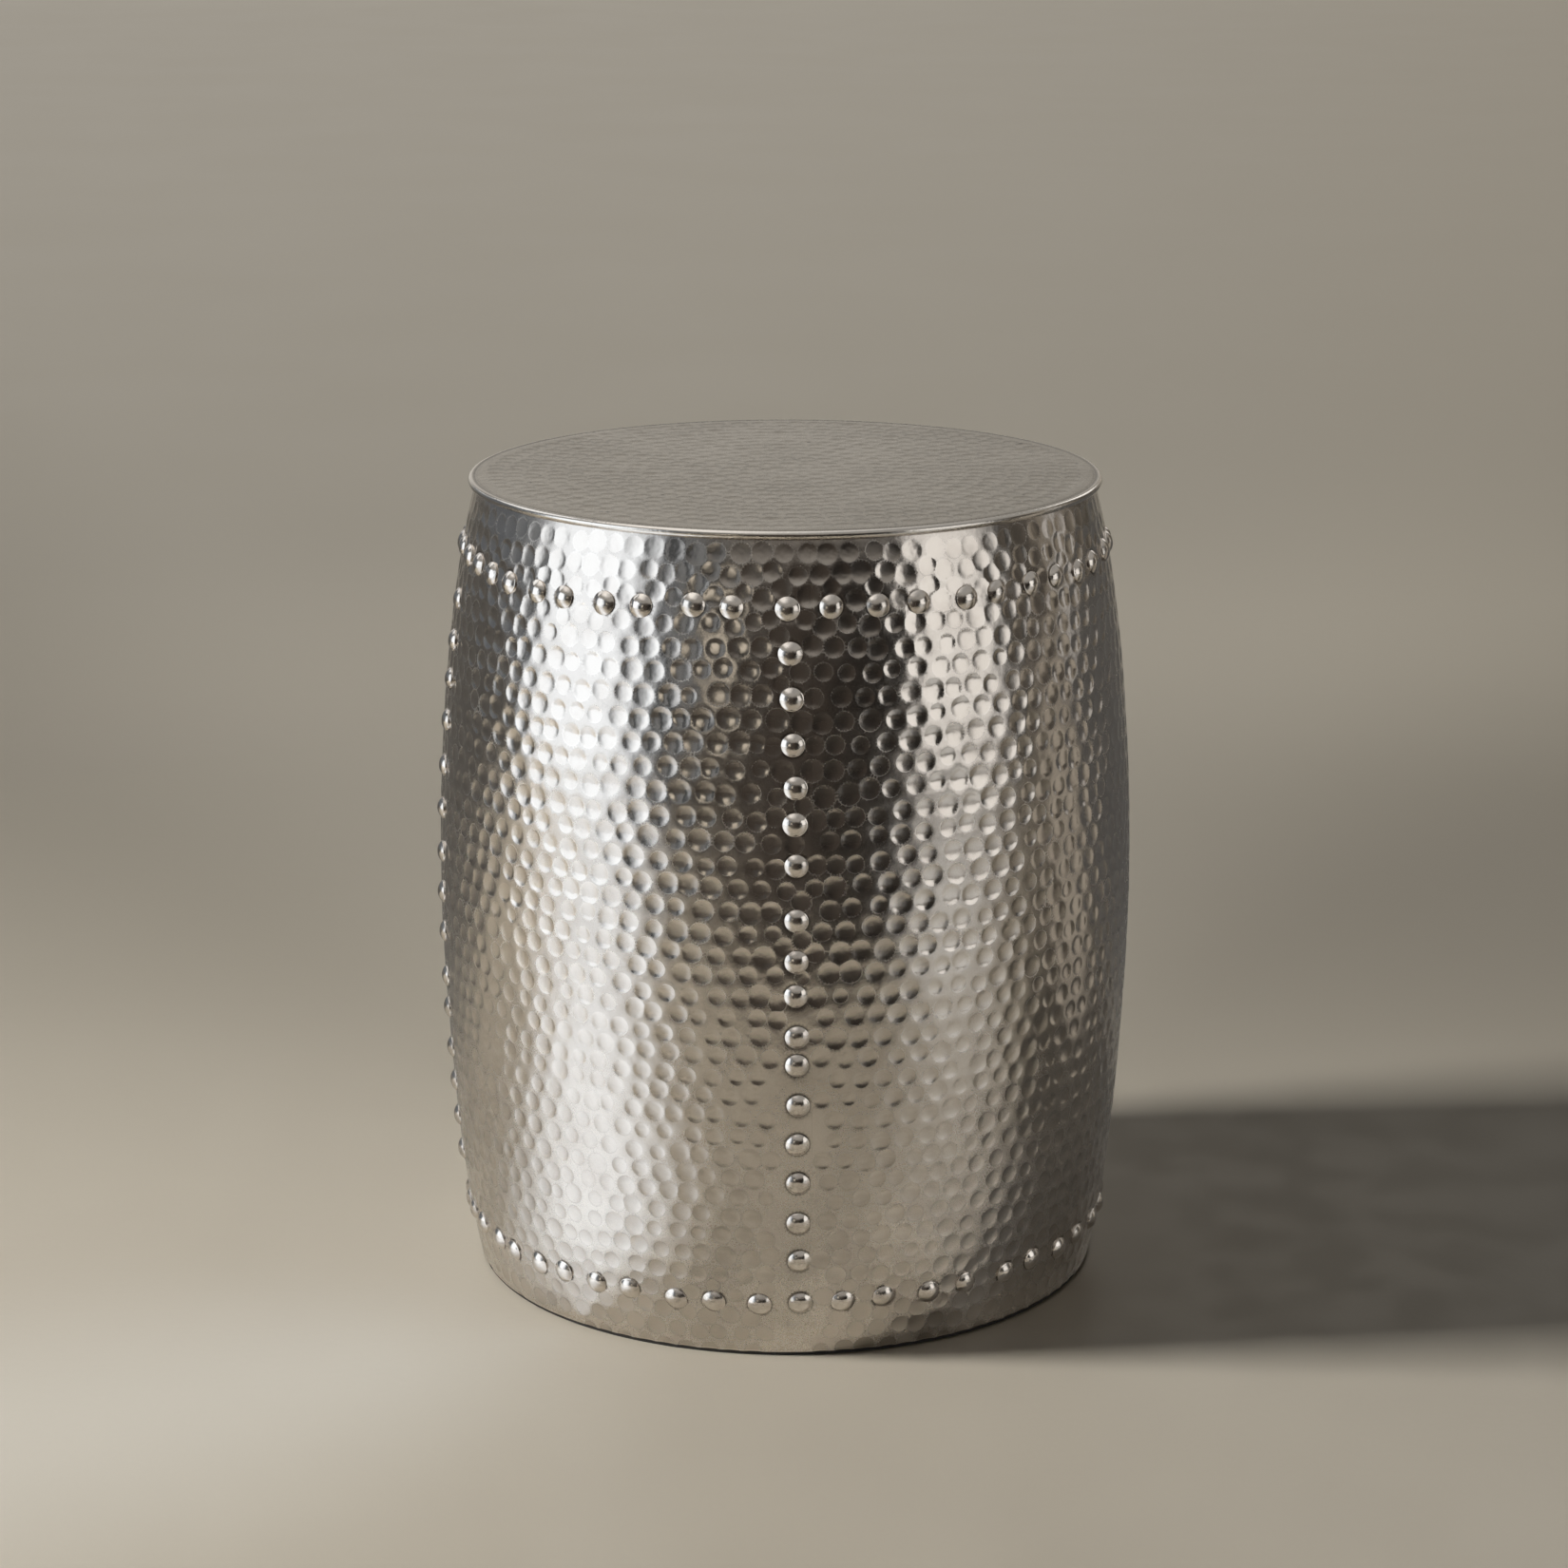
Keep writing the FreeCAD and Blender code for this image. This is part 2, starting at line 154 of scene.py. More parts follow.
def rivet_seats(node):
    """(x, s) of every rivet in a CAD node, from the vertices of its domed heads."""
    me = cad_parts[node].data
    co = np.zeros(len(me.vertices) * 3, np.float32)
    me.vertices.foreach_get("co", co)
    co = co.reshape(-1, 3).astype(float)
    rad = np.hypot(co[:, 0], co[:, 1]) * 1000.0
    r, q = outer(co[:, 2] * 1000.0)
    tops = co[(rad - r) / np.sqrt(1.0 + q * q) > 2.7]
    seats, left = [], np.ones(len(tops), bool)
    while left.any():
        seed = tops[left][0]
        near = left & (np.linalg.norm(tops - seed, axis=1) < 0.0072)
        for _ in range(3):
            mid = tops[near].mean(0)
            near = left & (np.linalg.norm(tops - mid, axis=1) < 0.0066)
        x, s, _ = unplace(tops[near].mean(0))
        seats.append((x, s))
        left &= np.linalg.norm(tops - mid, axis=1) >= 0.0072
    return sorted(seats)


SEATS = {n: rivet_seats(n) for n in RIVET_NODES}
ALL_SEATS = np.array([q for n in RIVET_NODES for q in SEATS[n]])


# ------------------------------------------------------------- hammered pattern
S_END = float(s_at(STAVE_TOP))


def tree_of(x, s):
    tree = kdtree.KDTree(len(x))
    for i, p in enumerate((place(x, s, np.zeros(len(x))) * 1000.0).tolist()):
        tree.insert(p, i)
    tree.balance()
    return tree


def lay_dimples():
    """Centres, radii and depths of the hammer marks, struck in wandering rows."""
    rng = np.random.default_rng(52)
    count, first, last = 94, -0.65, float(s_at(445.0))

    def pitch(v):
        return 11.50 + 0.75 * ease(190.0, 330.0, v)

    # Rows a little wider apart towards the top; the last lies just under the bead.
    levels = [first]
    while levels[-1] < last:
        levels.append(levels[-1] + float(pitch(levels[-1])))
    fit = (last - first) / (levels[-2] - first)
    levels = [first + fit * (v - first) for v in levels[:-1]]
    xs, ss, phase = [], [], 0.0
    for s in levels:
        phase += 0.5 + rng.normal(0.0, 0.11)
        x = (np.arange(count) + phase + rng.normal(0.0, 0.045, count)) * LAP / count
        xs.append(x)
        ss.append(np.full(count, s + rng.normal(0.0, 0.25)) + rng.normal(0.0, 0.55, count))
    x, s = np.concatenate(xs), np.concatenate(ss)
    a = x / GIRTH
    x = x + 2.1 * np.sin(2 * np.pi * s / 97.0 + 2.0 * a + 0.6) + 1.2 * np.sin(
        2 * np.pi * s / 41.0 - 3.0 * a + 2.1)
    s = s + (1.0 - 0.7 * ease(405.0, 440.0, s)) * (
        1.5 * np.sin(3.0 * a + s / 60.0 + 1.0) + 1.0 * np.sin(8.0 * a - s / 37.0))
    x = x + rng.normal(0.0, 0.80, len(x))
    radius = 5.15 + 0.42 * ease(150.0, 300.0, s) + rng.normal(0.0, 0.48, len(x))
    radius = np.clip(radius, 4.2, 6.35)

    seat_pos = place(ALL_SEATS[:, 0], ALL_SEATS[:, 1], np.zeros(len(ALL_SEATS))) * 1000.0
    seat_tree = tree_of(ALL_SEATS[:, 0], ALL_SEATS[:, 1])
    for step in range(9):
        tree = tree_of(x, s)
        pos = place(x, s, np.zeros(len(x))) * 1000.0
        k = stretch(s)
        mx, ms = np.zeros(len(x)), np.zeros(len(x))
        for i, p in enumerate(pos.tolist()):
            want = radius[i]
            for co, j, d in tree.find_range(p, 13.0):
                if j == i or d < 1e-6:
                    continue
                gap = 0.90 * (radius[i] + radius[j]) - d
                if gap > 0.0:
                    mx[i] -= 0.32 * gap * wrap(x[j] - x[i]) * k[i] / d
                    ms[i] -= 0.32 * gap * (s[j] - s[i]) / d
            for co, j, d in seat_tree.find_range(p, 12.0):
                gap = want + 5.2 - d
                if gap > 0.0:
                    mx[i] -= 0.6 * gap * wrap(ALL_SEATS[j, 0] - x[i]) * k[i] / max(d, 0.5)
                    ms[i] -= 0.6 * gap * (ALL_SEATS[j, 1] - s[i]) / max(d, 0.5)
        x, s = x + mx / k, s + ms

    # Marks squeezed beside a rivet are small ones; those under a head go.
    keep = (s > -2.0) & (s < s_at(448.5))
    pos = place(x, s, np.zeros(len(x))) * 1000.0
    for i, p in enumerate(pos.tolist()):
        co, j, d = seat_tree.find(p)
        if d < radius[i] + 5.3:
            radius[i] = d - 5.3
            if radius[i] < 3.3:
                keep[i] = False
    # A plain strip runs down each seam in the lower part of the drum.
    z = z_at(s)
    for seam in SEAMS:
        off = np.abs(wrap(x - math.radians(seam) * GIRTH)) * stretch(s)
        keep &= ~((off < 12.5) & (z < 165.0))
        keep &= ~((off < 10.0) & (z < 205.0))
    x, s, radius, z = x[keep], s[keep], radius[keep], z[keep]
    # Where two marks still fall on one spot, the second is dropped.
    tree = tree_of(x, s)
    keep = np.ones(len(x), bool)
    for i, p in enumerate((place(x, s, np.zeros(len(x))) * 1000.0).tolist()):
        for co, j, d in tree.find_range(p, 7.6):
            if j < i and keep[j]:
                keep[i] = False
    x, s, radius, z = x[keep], s[keep], radius[keep], z[keep]
    force = 0.92 + 0.08 * ease(40.0, 112.0, z)
    force *= 1.0 - 0.50 * ease(430.0, 446.0, z)
    force *= np.clip(rng.normal(1.0, 0.10, len(x)), 0.75, 1.25)
    depth = force * radius * 0.094
    return (x - math.radians(EDGES[0]) * GIRTH) % LAP + math.radians(EDGES[0]) * GIRTH, s, radius, depth


DX, DS, DR, DD = lay_dimples()
DTREE = tree_of(DX, DS)
SHOULDER, STEEP = 0.94, 2.85
LIP = SHOULDER + 2.0 * (1.0 - SHOULDER ** STEEP) / (STEEP * SHOULDER ** (STEEP - 1.0))
_rng = np.random.default_rng(5)
TURN = _rng.random(len(DX)) * 6.28
LOP, LOP_DIR = _rng.uniform(0.0, 0.16, len(DX)), _rng.random(len(DX)) * 6.28


def bowl(t):
    """Depth over full depth at t radii from the middle: a flat-bottomed hollow whose
    wall steepens outwards and ends in a rounded shoulder."""
    t = np.asarray(t, float)
    edge = (1.0 - SHOULDER ** STEEP) * (np.maximum(LIP - t, 0.0) / (LIP - SHOULDER)) ** 2
    return np.where(t < SHOULDER, 1.0 - np.minimum(t, 1.0) ** STEEP, edge)


def wave(x, s):
    """Slow waviness of the beaten sheet; never outside the smooth surface."""
    a = x / GIRTH
    w = 0.055 * np.sin(6 * a + s / 31.0 + 0.4) + 0.050 * np.sin(11 * a - s / 23.0 + 1.9)
    w += 0.040 * np.sin(19 * a + s / 13.0 + 2.6) + 0.035 * np.sin(3 * a - s / 10.5 + 0.2)
    w += 0.030 * np.sin(27 * a + s / 17.0 + 5.0) + 0.022 * np.sin(44 * a - s / 6.3 + 3.1)
    w += 0.014 * np.sin(67 * a + s / 4.1 + 1.1) + 0.012 * np.sin(81 * a - s / 3.3 + 0.7)
    calm = ease(-2.0, 22.0, s) * (1.0 - 0.65 * ease(s_at(432.0), s_at(450.0), s))
    return -0.03 + (w - 0.26) * calm * 0.92


SEAT_TREE = tree_of(ALL_SEATS[:, 0], ALL_SEATS[:, 1])


def dish(x, s):
    """The sheet is drawn in a little under each rivet head."""
    out = np.zeros(len(x))
    for i, p in enumerate((place(x, s, np.zeros(len(x))) * 1000.0).tolist()):
        co, j, d = SEAT_TREE.find(p)
        if d < 12.0:
            out[i] = 0.27 * math.exp(-(max(d - 6.2, 0.0) / 1.5) ** 2)
    return out


def seat_points():
    """Rings of points in the dished sheet round each rivet; the painted shadow ring round each rivet head is -1
    in the last column.
    """
    pts = []
    k = stretch(ALL_SEATS[:, 1])
    for index, (rad, rivet_shadow) in enumerate(((5.2, -1.0), (6.5, -1.0), (7.1, -0.75), (7.9, 0.0), (9.2, 0.0))):
        th = (np.arange(22) + 0.5 * (index % 2)) * 2 * np.pi / 22
        x = (ALL_SEATS[:, :1] + rad * np.cos(th) / k[:, None]).ravel()
        s = (ALL_SEATS[:, 1:] + rad * np.sin(th)).ravel()
        pts.append(np.stack([x, s, np.zeros(len(x)), np.full(len(x), rivet_shadow)], -1))
    pts = np.concatenate(pts)
    ok = np.ones(len(pts), bool)
    for i, p in enumerate((place(pts[:, 0], pts[:, 1], np.zeros(len(pts))) * 1000.0).tolist()):
        for co, j, d in DTREE.find_range(p, 7.6):
            if d < 1.10 * DR[j] + 0.2:
                ok[i] = False
                break
    return pts[ok]


def neighbours(reach, most):
    """For each mark, the indices of the marks near it (itself first), padded with -1."""
    out = np.full((len(DX), most), -1, int)
    for i, p in enumerate((place(DX, DS, np.zeros(len(DX))) * 1000.0).tolist()):
        found = sorted((d, j) for co, j, d in DTREE.find_range(p, reach))[:most]
        out[i, :len(found)] = [j for d, j in found]
    return out


NEAR = neighbours(15.0, 11)


def dents_at(x, s):
    """Depth of the deepest mark at each point, found through the tree."""
    out = np.zeros(len(x))
    pos = (place(x, s, np.zeros(len(x))) * 1000.0).tolist()
    for i, p in enumerate(pos):
        for co, j, d in DTREE.find_range(p, 7.1):
            gx, gs = wrap(x[i] - DX[j]) * float(stretch(DS[j])) / DR[j], (s[i] - DS[j]) / DR[j]
            skew = gx * math.cos(LOP_DIR[j]) + gs * math.sin(LOP_DIR[j])
            skew = 1.0 + LOP[j] * min(max(skew, -1.0), 1.0)
            out[i] = max(out[i], DD[j] * float(bowl(math.hypot(gx, gs))) * skew)
    return out


def ring_points():
    """Sample points in and round every mark: x, s, dent depth, and how far in it they are."""
    n = len(DX)
    k = stretch(DS)
    jx = np.where(NEAR >= 0, wrap(DX[NEAR] - DX[:, None]) * k[:, None], 1e6)
    js = np.where(NEAR >= 0, DS[NEAR] - DS[:, None], 1e6)
    jd, jr = DD[NEAR], DR[NEAR]
    jl, ja = LOP[NEAR], LOP_DIR[NEAR]
    other = (NEAR >= 0) & (NEAR != np.arange(n)[:, None])

    def dents(px, ps):
        """Depth that each near mark gives at points beside mark i, one column per mark."""
        gx, gs = px[:, :, None] - jx[:, None, :], ps[:, :, None] - js[:, None, :]
        t = np.hypot(gx, gs) / jr[:, None, :]
        skew = (gx * np.cos(ja)[:, None, :] + gs * np.sin(ja)[:, None, :]) / jr[:, None, :]
        return jd[:, None, :] * bowl(t) * (1.0 + jl[:, None, :] * np.clip(skew, -1.0, 1.0))

    out = [np.stack([DX, DS, DD, np.ones(n)], -1)]
    rings = [(0.48, 8, 1.0), (0.75, 14, 1.0), (SHOULDER, 20, 1.0), (1.0, 21, 0.5),
             (LIP, 21, 0.0)]
    for index, (f, count, inside) in enumerate(rings):
        th = TURN[:, None] + (np.arange(count)[None, :] + 0.5 * (index % 2)) * 2 * np.pi / count
        ex, es = np.cos(th), np.sin(th)
        rad = DR[:, None]
        # How far out this mark stays the deepest one.
        cross = np.full(th.shape, 1e6)
        step = 0.05
        for t in np.arange(0.40, 1.20, step):
            rho = t * rad
            d = dents(rho * ex, rho * es)
            own = d[:, :, 0]
            lead = own - np.where(other[:, None, :], d, -1.0).max(-1)
            if t == 0.40:
                last = lead
                continue
            hit = (lead <= 0.0) & (cross > 1e5)
            at = (t - step) + step * last / np.maximum(last - lead, 1e-9)
            cross = np.where(hit, np.clip(at, t - step, t) * rad, cross)
            last = lead
        rho = np.broadcast_to(f * rad, cross.shape).copy()
        ok = np.ones_like(rho, bool)
        if index < 2:
            ok &= cross - 0.12 > (f + 0.04) * rad
        elif index == 2:
            rho = np.minimum(rho, cross - 0.5)
            ok &= rho > 0.78 * rad
        elif index == 3:
            rho = np.minimum(rho, cross - 0.12)
        else:
            ok &= cross > rho + 0.10
        px, ps = rho * ex, rho * es
        dent = np.where(NEAR[:, None, :] >= 0, dents(px, ps), 0.0).max(-1)
        if index == 4:
            ok &= dent < 0.004
        x = DX[:, None] + px / k[:, None]
        s = DS[:, None] + ps
        mark = np.full_like(dent, inside)
        if index == 3:
            mark = np.where(cross < 1.0 * rad, 0.6, inside)
        out.append(np.stack([x, s, np.maximum(dent, 0.0), mark], -1)[ok])
    return np.concatenate(out)


RINGS = ring_points()


def coarse_points(step, clear):
    """Loose points over the land, away from every mark's rim."""
    rng = np.random.default_rng(9)
    pts = []
    for j, s in enumerate(np.arange(step * 0.5, S_END, step)):
        x = np.arange(0.0, LAP, step) + (step / 2 if j % 2 else 0.0) + EDGES[0] * math.pi / 180 * GIRTH
        pts.append(np.stack([x + rng.uniform(-0.8, 0.8, len(x)),
                             np.full(len(x), s) + rng.uniform(-0.8, 0.8, len(x))], -1))
    pts = np.concatenate(pts)
    pos = (place(pts[:, 0], pts[:, 1], np.zeros(len(pts))) * 1000.0).tolist()
    ok = np.ones(len(pts), bool)
    for i, p in enumerate(pos):
        for co, j, d in DTREE.find_range(p, 8.5):
            if d < DR[j] + clear:
                ok[i] = False
                break
        if ok[i] and SEAT_TREE.find(p)[2] < 10.2:
            ok[i] = False
    pts = pts[ok]
    return np.stack([pts[:, 0], pts[:, 1], np.zeros(len(pts)), np.zeros(len(pts))], -1)


LOOSE = np.concatenate([coarse_points(3.0, 1.25), seat_points()])


# ----------------------------------------------------------------- mesh helpers
def make_object(name, verts, tris, attribute=None, angle=38.0):
    me = bpy.data.meshes.new(name)
    me.vertices.add(len(verts))
    me.vertices.foreach_set("co", np.ascontiguousarray(verts, np.float32).ravel())
    me.loops.add(3 * len(tris))
    me.loops.foreach_set("vertex_index", np.ascontiguousarray(tris, np.int32).ravel())
    me.polygons.add(len(tris))
    me.polygons.foreach_set("loop_start", np.arange(0, 3 * len(tris), 3, dtype=np.int32))
    me.update(calc_edges=True)
    if attribute is not None:
        layer = me.attributes.new("struck", "FLOAT", "POINT")
        layer.data.foreach_set("value", np.ascontiguousarray(attribute, np.float32))
    me.validate()
    me.shade_smooth()
    me.set_sharp_from_angle(angle=math.radians(angle))
    obj = bpy.data.objects.new(name, me)
    bpy.context.scene.collection.objects.link(obj)
    return obj


def triangulate(points):
    """Delaunay triangles over the points; returns triangles by input index."""
    res = delaunay_2d_cdt([Vector(p) for p in points.tolist()], [], [], 0, 1e-5)
    source = np.array([o[0] for o in res[3]], int)
    return source[np.array(res[2], int)]


def rim_loop(x0, x1, s0, s1, step_s, step_x):
    """Points round a rectangle, counter-clockwise."""
    ns, nx = max(2, int(round((s1 - s0) / step_s))), max(2, int(round((x1 - x0) / step_x)))
    xs, ss = np.linspace(x0, x1, nx + 1), np.linspace(s0, s1, ns + 1)
    return np.concatenate([
        np.stack([xs[:-1], np.full(nx, s0)], -1), np.stack([np.full(ns, x1), ss[:-1]], -1),
        np.stack([xs[:0:-1], np.full(nx, s1)], -1), np.stack([np.full(ns, x0), ss[:0:-1]], -1)])


def skirt(a, b):
    """Triangles between two loops of equal length (a is the outer one, counter-clockwise)."""
    a2, b2 = np.roll(a, -1), np.roll(b, -1)
    return np.concatenate([np.stack([a, b, b2], -1), np.stack([a, b2, a2], -1)])


def slab(x0, x1, s0, s1, h_out, h_in, step):
    """A curved slab of constant depth as vertices and triangles."""
    loop = rim_loop(x0, x1, s0, s1, step, step)
    nx, ns = max(2, int((x1 - x0) / step)), max(2, int((s1 - s0) / step))
    gx, gs = np.meshgrid(np.linspace(x0, x1, nx + 1)[1:-1], np.linspace(s0, s1, ns + 1)[1:-1])
    pts = np.concatenate([loop, np.stack([gx.ravel(), gs.ravel()], -1)])
    tris = triangulate(pts)
    n, m = len(pts), len(loop)
    verts = np.concatenate([place(pts[:, 0], pts[:, 1], np.full(n, h_out)),
                            place(pts[:, 0], pts[:, 1], np.full(n, h_in))])
    return verts, np.concatenate([tris, tris[:, ::-1] + n, skirt(np.arange(m), np.arange(m) + n)])


# ----------------------------------------------------------------------- staves
def rim_wave(x, s):
    """The sheet's cut edge and the joint lines, with the same waviness as its middle."""
    return wave(x, s)


def build_stave(name, az0, az1):
    x0 = math.radians(az0) * GIRTH + HAIRLINE
    x1 = math.radians(az1) * GIRTH - HAIRLINE
    loop = rim_loop(x0, x1, 0.0, S_END, 1.25, 1.6)
    body = np.concatenate([RINGS, LOOSE])
    bx = body[:, 0]
    shifted = (bx - x0 + 20.0) % LAP + x0 - 20.0
    body = np.concatenate([shifted[:, None], body[:, 1:]], 1)
    ok = (body[:, 0] > x0 + 0.45) & (body[:, 0] < x1 - 0.45)
    ok &= (body[:, 1] > 0.45) & (body[:, 1] < S_END - 0.45)
    body = body[ok]
    loop_dent = dents_at(loop[:, 0], loop[:, 1])
    pts = np.concatenate([loop, body[:, :2]])
    dent = np.concatenate([loop_dent, body[:, 2]])
    struck = np.concatenate([(loop_dent > 0.02).astype(float), body[:, 3]])
    tris = triangulate(pts)
    n, m = len(pts), len(loop)
    h = wave(pts[:, 0], pts[:, 1]) - dent - dish(pts[:, 0], pts[:, 1])
    verts = [place(pts[:, 0], pts[:, 1], h)]
    faces = [tris]

    # Inner face: the marks show through as low bumps, except behind hoops and straps.
    half = (DX - x0 + 20.0) % LAP + x0 - 20.0
    th = np.arange(7) * 2 * np.pi / 7
    k = stretch(DS)
    cx = np.concatenate([half[:, None], half[:, None] + 0.95 * DR[:, None] * np.cos(th) / k[:, None]], 1)
    cs = np.concatenate([DS[:, None], DS[:, None] + 0.95 * DR[:, None] * np.sin(th)], 1)
    up = np.zeros_like(cx)
    z = z_at(DS)
    free = ease(HOOP_LOW, HOOP_LOW + 14.0, z) * (1.0 - ease(HOOP_HIGH - 14.0, HOOP_HIGH, z))
    for seam in SEAMS:
        off = np.abs(wrap(half - math.radians(seam) * GIRTH)) * k
        free *= ease(15.0, 24.0, off)
    up[:, 0] = DD * free * 0.8
    inner = np.stack([cx.ravel(), cs.ravel(), up.ravel()], -1)
    ok = (inner[:, 0] > x0 + 2.0) & (inner[:, 0] < x1 - 2.0)
    ok &= (inner[:, 1] > 2.0) & (inner[:, 1] < S_END - 2.0)
    inner = inner[ok]
    ipts = np.concatenate([loop, inner[:, :2]])
    itris = triangulate(ipts)
    ih = np.concatenate([np.full(m, -SHEET), -SHEET - inner[:, 2]])
    verts.append(place(ipts[:, 0], ipts[:, 1], ih))
    faces.append(itris[:, ::-1] + n)
    faces.append(skirt(np.arange(m), np.arange(m) + n))
    marks = [struck, np.zeros(len(ipts))]
    total = n + len(ipts)
    for t0, t1 in TONGUES.get(name, []):
        v, f = slab(math.radians(t0) * GIRTH, math.radians(t1) * GIRTH,
                    float(s_at(TONGUE_BOTTOM)), float(s_at(TONGUE_TOP)),
                    -SHEET, -2.0 * SHEET, 5.0)
        verts.append(v)
        faces.append(f + total)
        marks.append(np.zeros(len(v)))
        total += len(v)
    obj = make_object("sheet_" + name, np.concatenate(verts), np.concatenate(faces),
                      np.concatenate(marks))
    print("%-24s %7d tris" % (obj.name, len(obj.data.polygons)))
    return obj


# ----------------------------------------------------------------------- rivets
def build_rivets(name, seats, grip, seed):
    """Set rivets: a struck dome with a crisp lip, and the closed end inside."""
    rng = np.random.default_rng(seed)
    seg, verts, tris, total = 28, [], [], 0
    th = np.arange(seg) * 2 * np.pi / seg
    for x, s in seats:
        radius = 6.4 * rng.uniform(0.975, 1.02)
        rise = 3.2 * rng.uniform(0.95, 1.0)
        lip = 0.42 + rng.uniform(-0.06, 0.06)
        cap = rise - lip - 0.06
        foot = radius - rng.uniform(0.14, 0.34)
        ball = (foot ** 2 + cap ** 2) / (2.0 * cap)
        half = math.asin(min(1.0, foot / ball))
        lean, lean_dir = rng.uniform(0.0, 0.05), rng.uniform(0.0, 6.28)
        flat = rng.uniform(0.0, 0.16)
        oval, oval_dir = rng.uniform(0.004, 0.024), rng.normal(0.0, 0.5)
        rings = []
        for t in (0.10, 0.22, 0.34, 0.46, 0.58, 0.69, 0.79, 0.88, 0.95, 1.0):
            a = half * t
            rr = ball * math.sin(a)
            hh = rise - ball + ball * math.cos(a)
            hh -= flat * math.exp(-(t / 0.28) ** 2)
            rings.append((rr, hh))
        # The dome ends in a small rounded lip.
        rings[-1] = (foot, lip + 0.10)
        rings += [(radius - 0.05, lip - 0.02), (radius, lip - 0.20), (radius, -0.55)]
        tail = [(2.5, -0.55), (2.5, -grip + 0.25), (4.5, -grip + 0.25), (4.5, -grip - 0.9),
                (4.1, -grip - 1.45), (2.8, -grip - 1.8)]
        rows = [np.array([[0.0, 0.0, rise - flat]])]
        for rr, hh in rings + tail:
            out = 1.0 + oval * np.cos(2.0 * (th - oval_dir)) * (1.0 if hh > -0.6 else 0.3)
            tip = lean * (rr / radius) * np.cos(th - lean_dir) * radius * 0.28 if hh > 0.3 else 0.0 * th
            rows.append(np.stack([rr * out * np.cos(th), rr * out * np.sin(th), hh + tip], -1))
        rows.append(np.array([[0.0, 0.0, -grip - 1.8]]))
        local = np.concatenate(rows)
        r0, q = outer(z_at(s))
        az = x / GIRTH
        n = math.sqrt(1.0 + float(q) ** 2)
        normal = np.array([math.sin(az) / n, -math.cos(az) / n, -float(q) / n])
        along = np.array([math.cos(az), math.sin(az), 0.0])
        up = np.cross(normal, along)
        base = place(np.array([x]), np.array([s]), np.array([0.0]))[0]
        sink = -float(wave(np.array([x]), np.array([s]))[0]) + 0.06
        world = base + 0.001 * (local[:, :1] * along + local[:, 1:2] * up
                                + (local[:, 2:3] - sink) * normal)
        verts.append(world)
        f = []
        i = np.arange(seg)
        j = (i + 1) % seg
        f.append(np.stack([np.zeros(seg, int), 1 + i, 1 + j], -1))
        count = len(rings) + len(tail)
        for row in range(count - 1):
            a, b = 1 + row * seg, 1 + (row + 1) * seg
            f.append(np.stack([a + i, b + i, b + j], -1))
            f.append(np.stack([a + i, b + j, a + j], -1))
        last = 1 + (count - 1) * seg
        f.append(np.stack([last + j, last + i, np.full(seg, last + seg)], -1))
        tris.append(np.concatenate(f) + total)
        total += len(local)
    obj = make_object(name, np.concatenate(verts), np.concatenate(tris), angle=42.0)
    print("%-24s %7d tris" % (obj.name, len(obj.data.polygons)))
    return obj


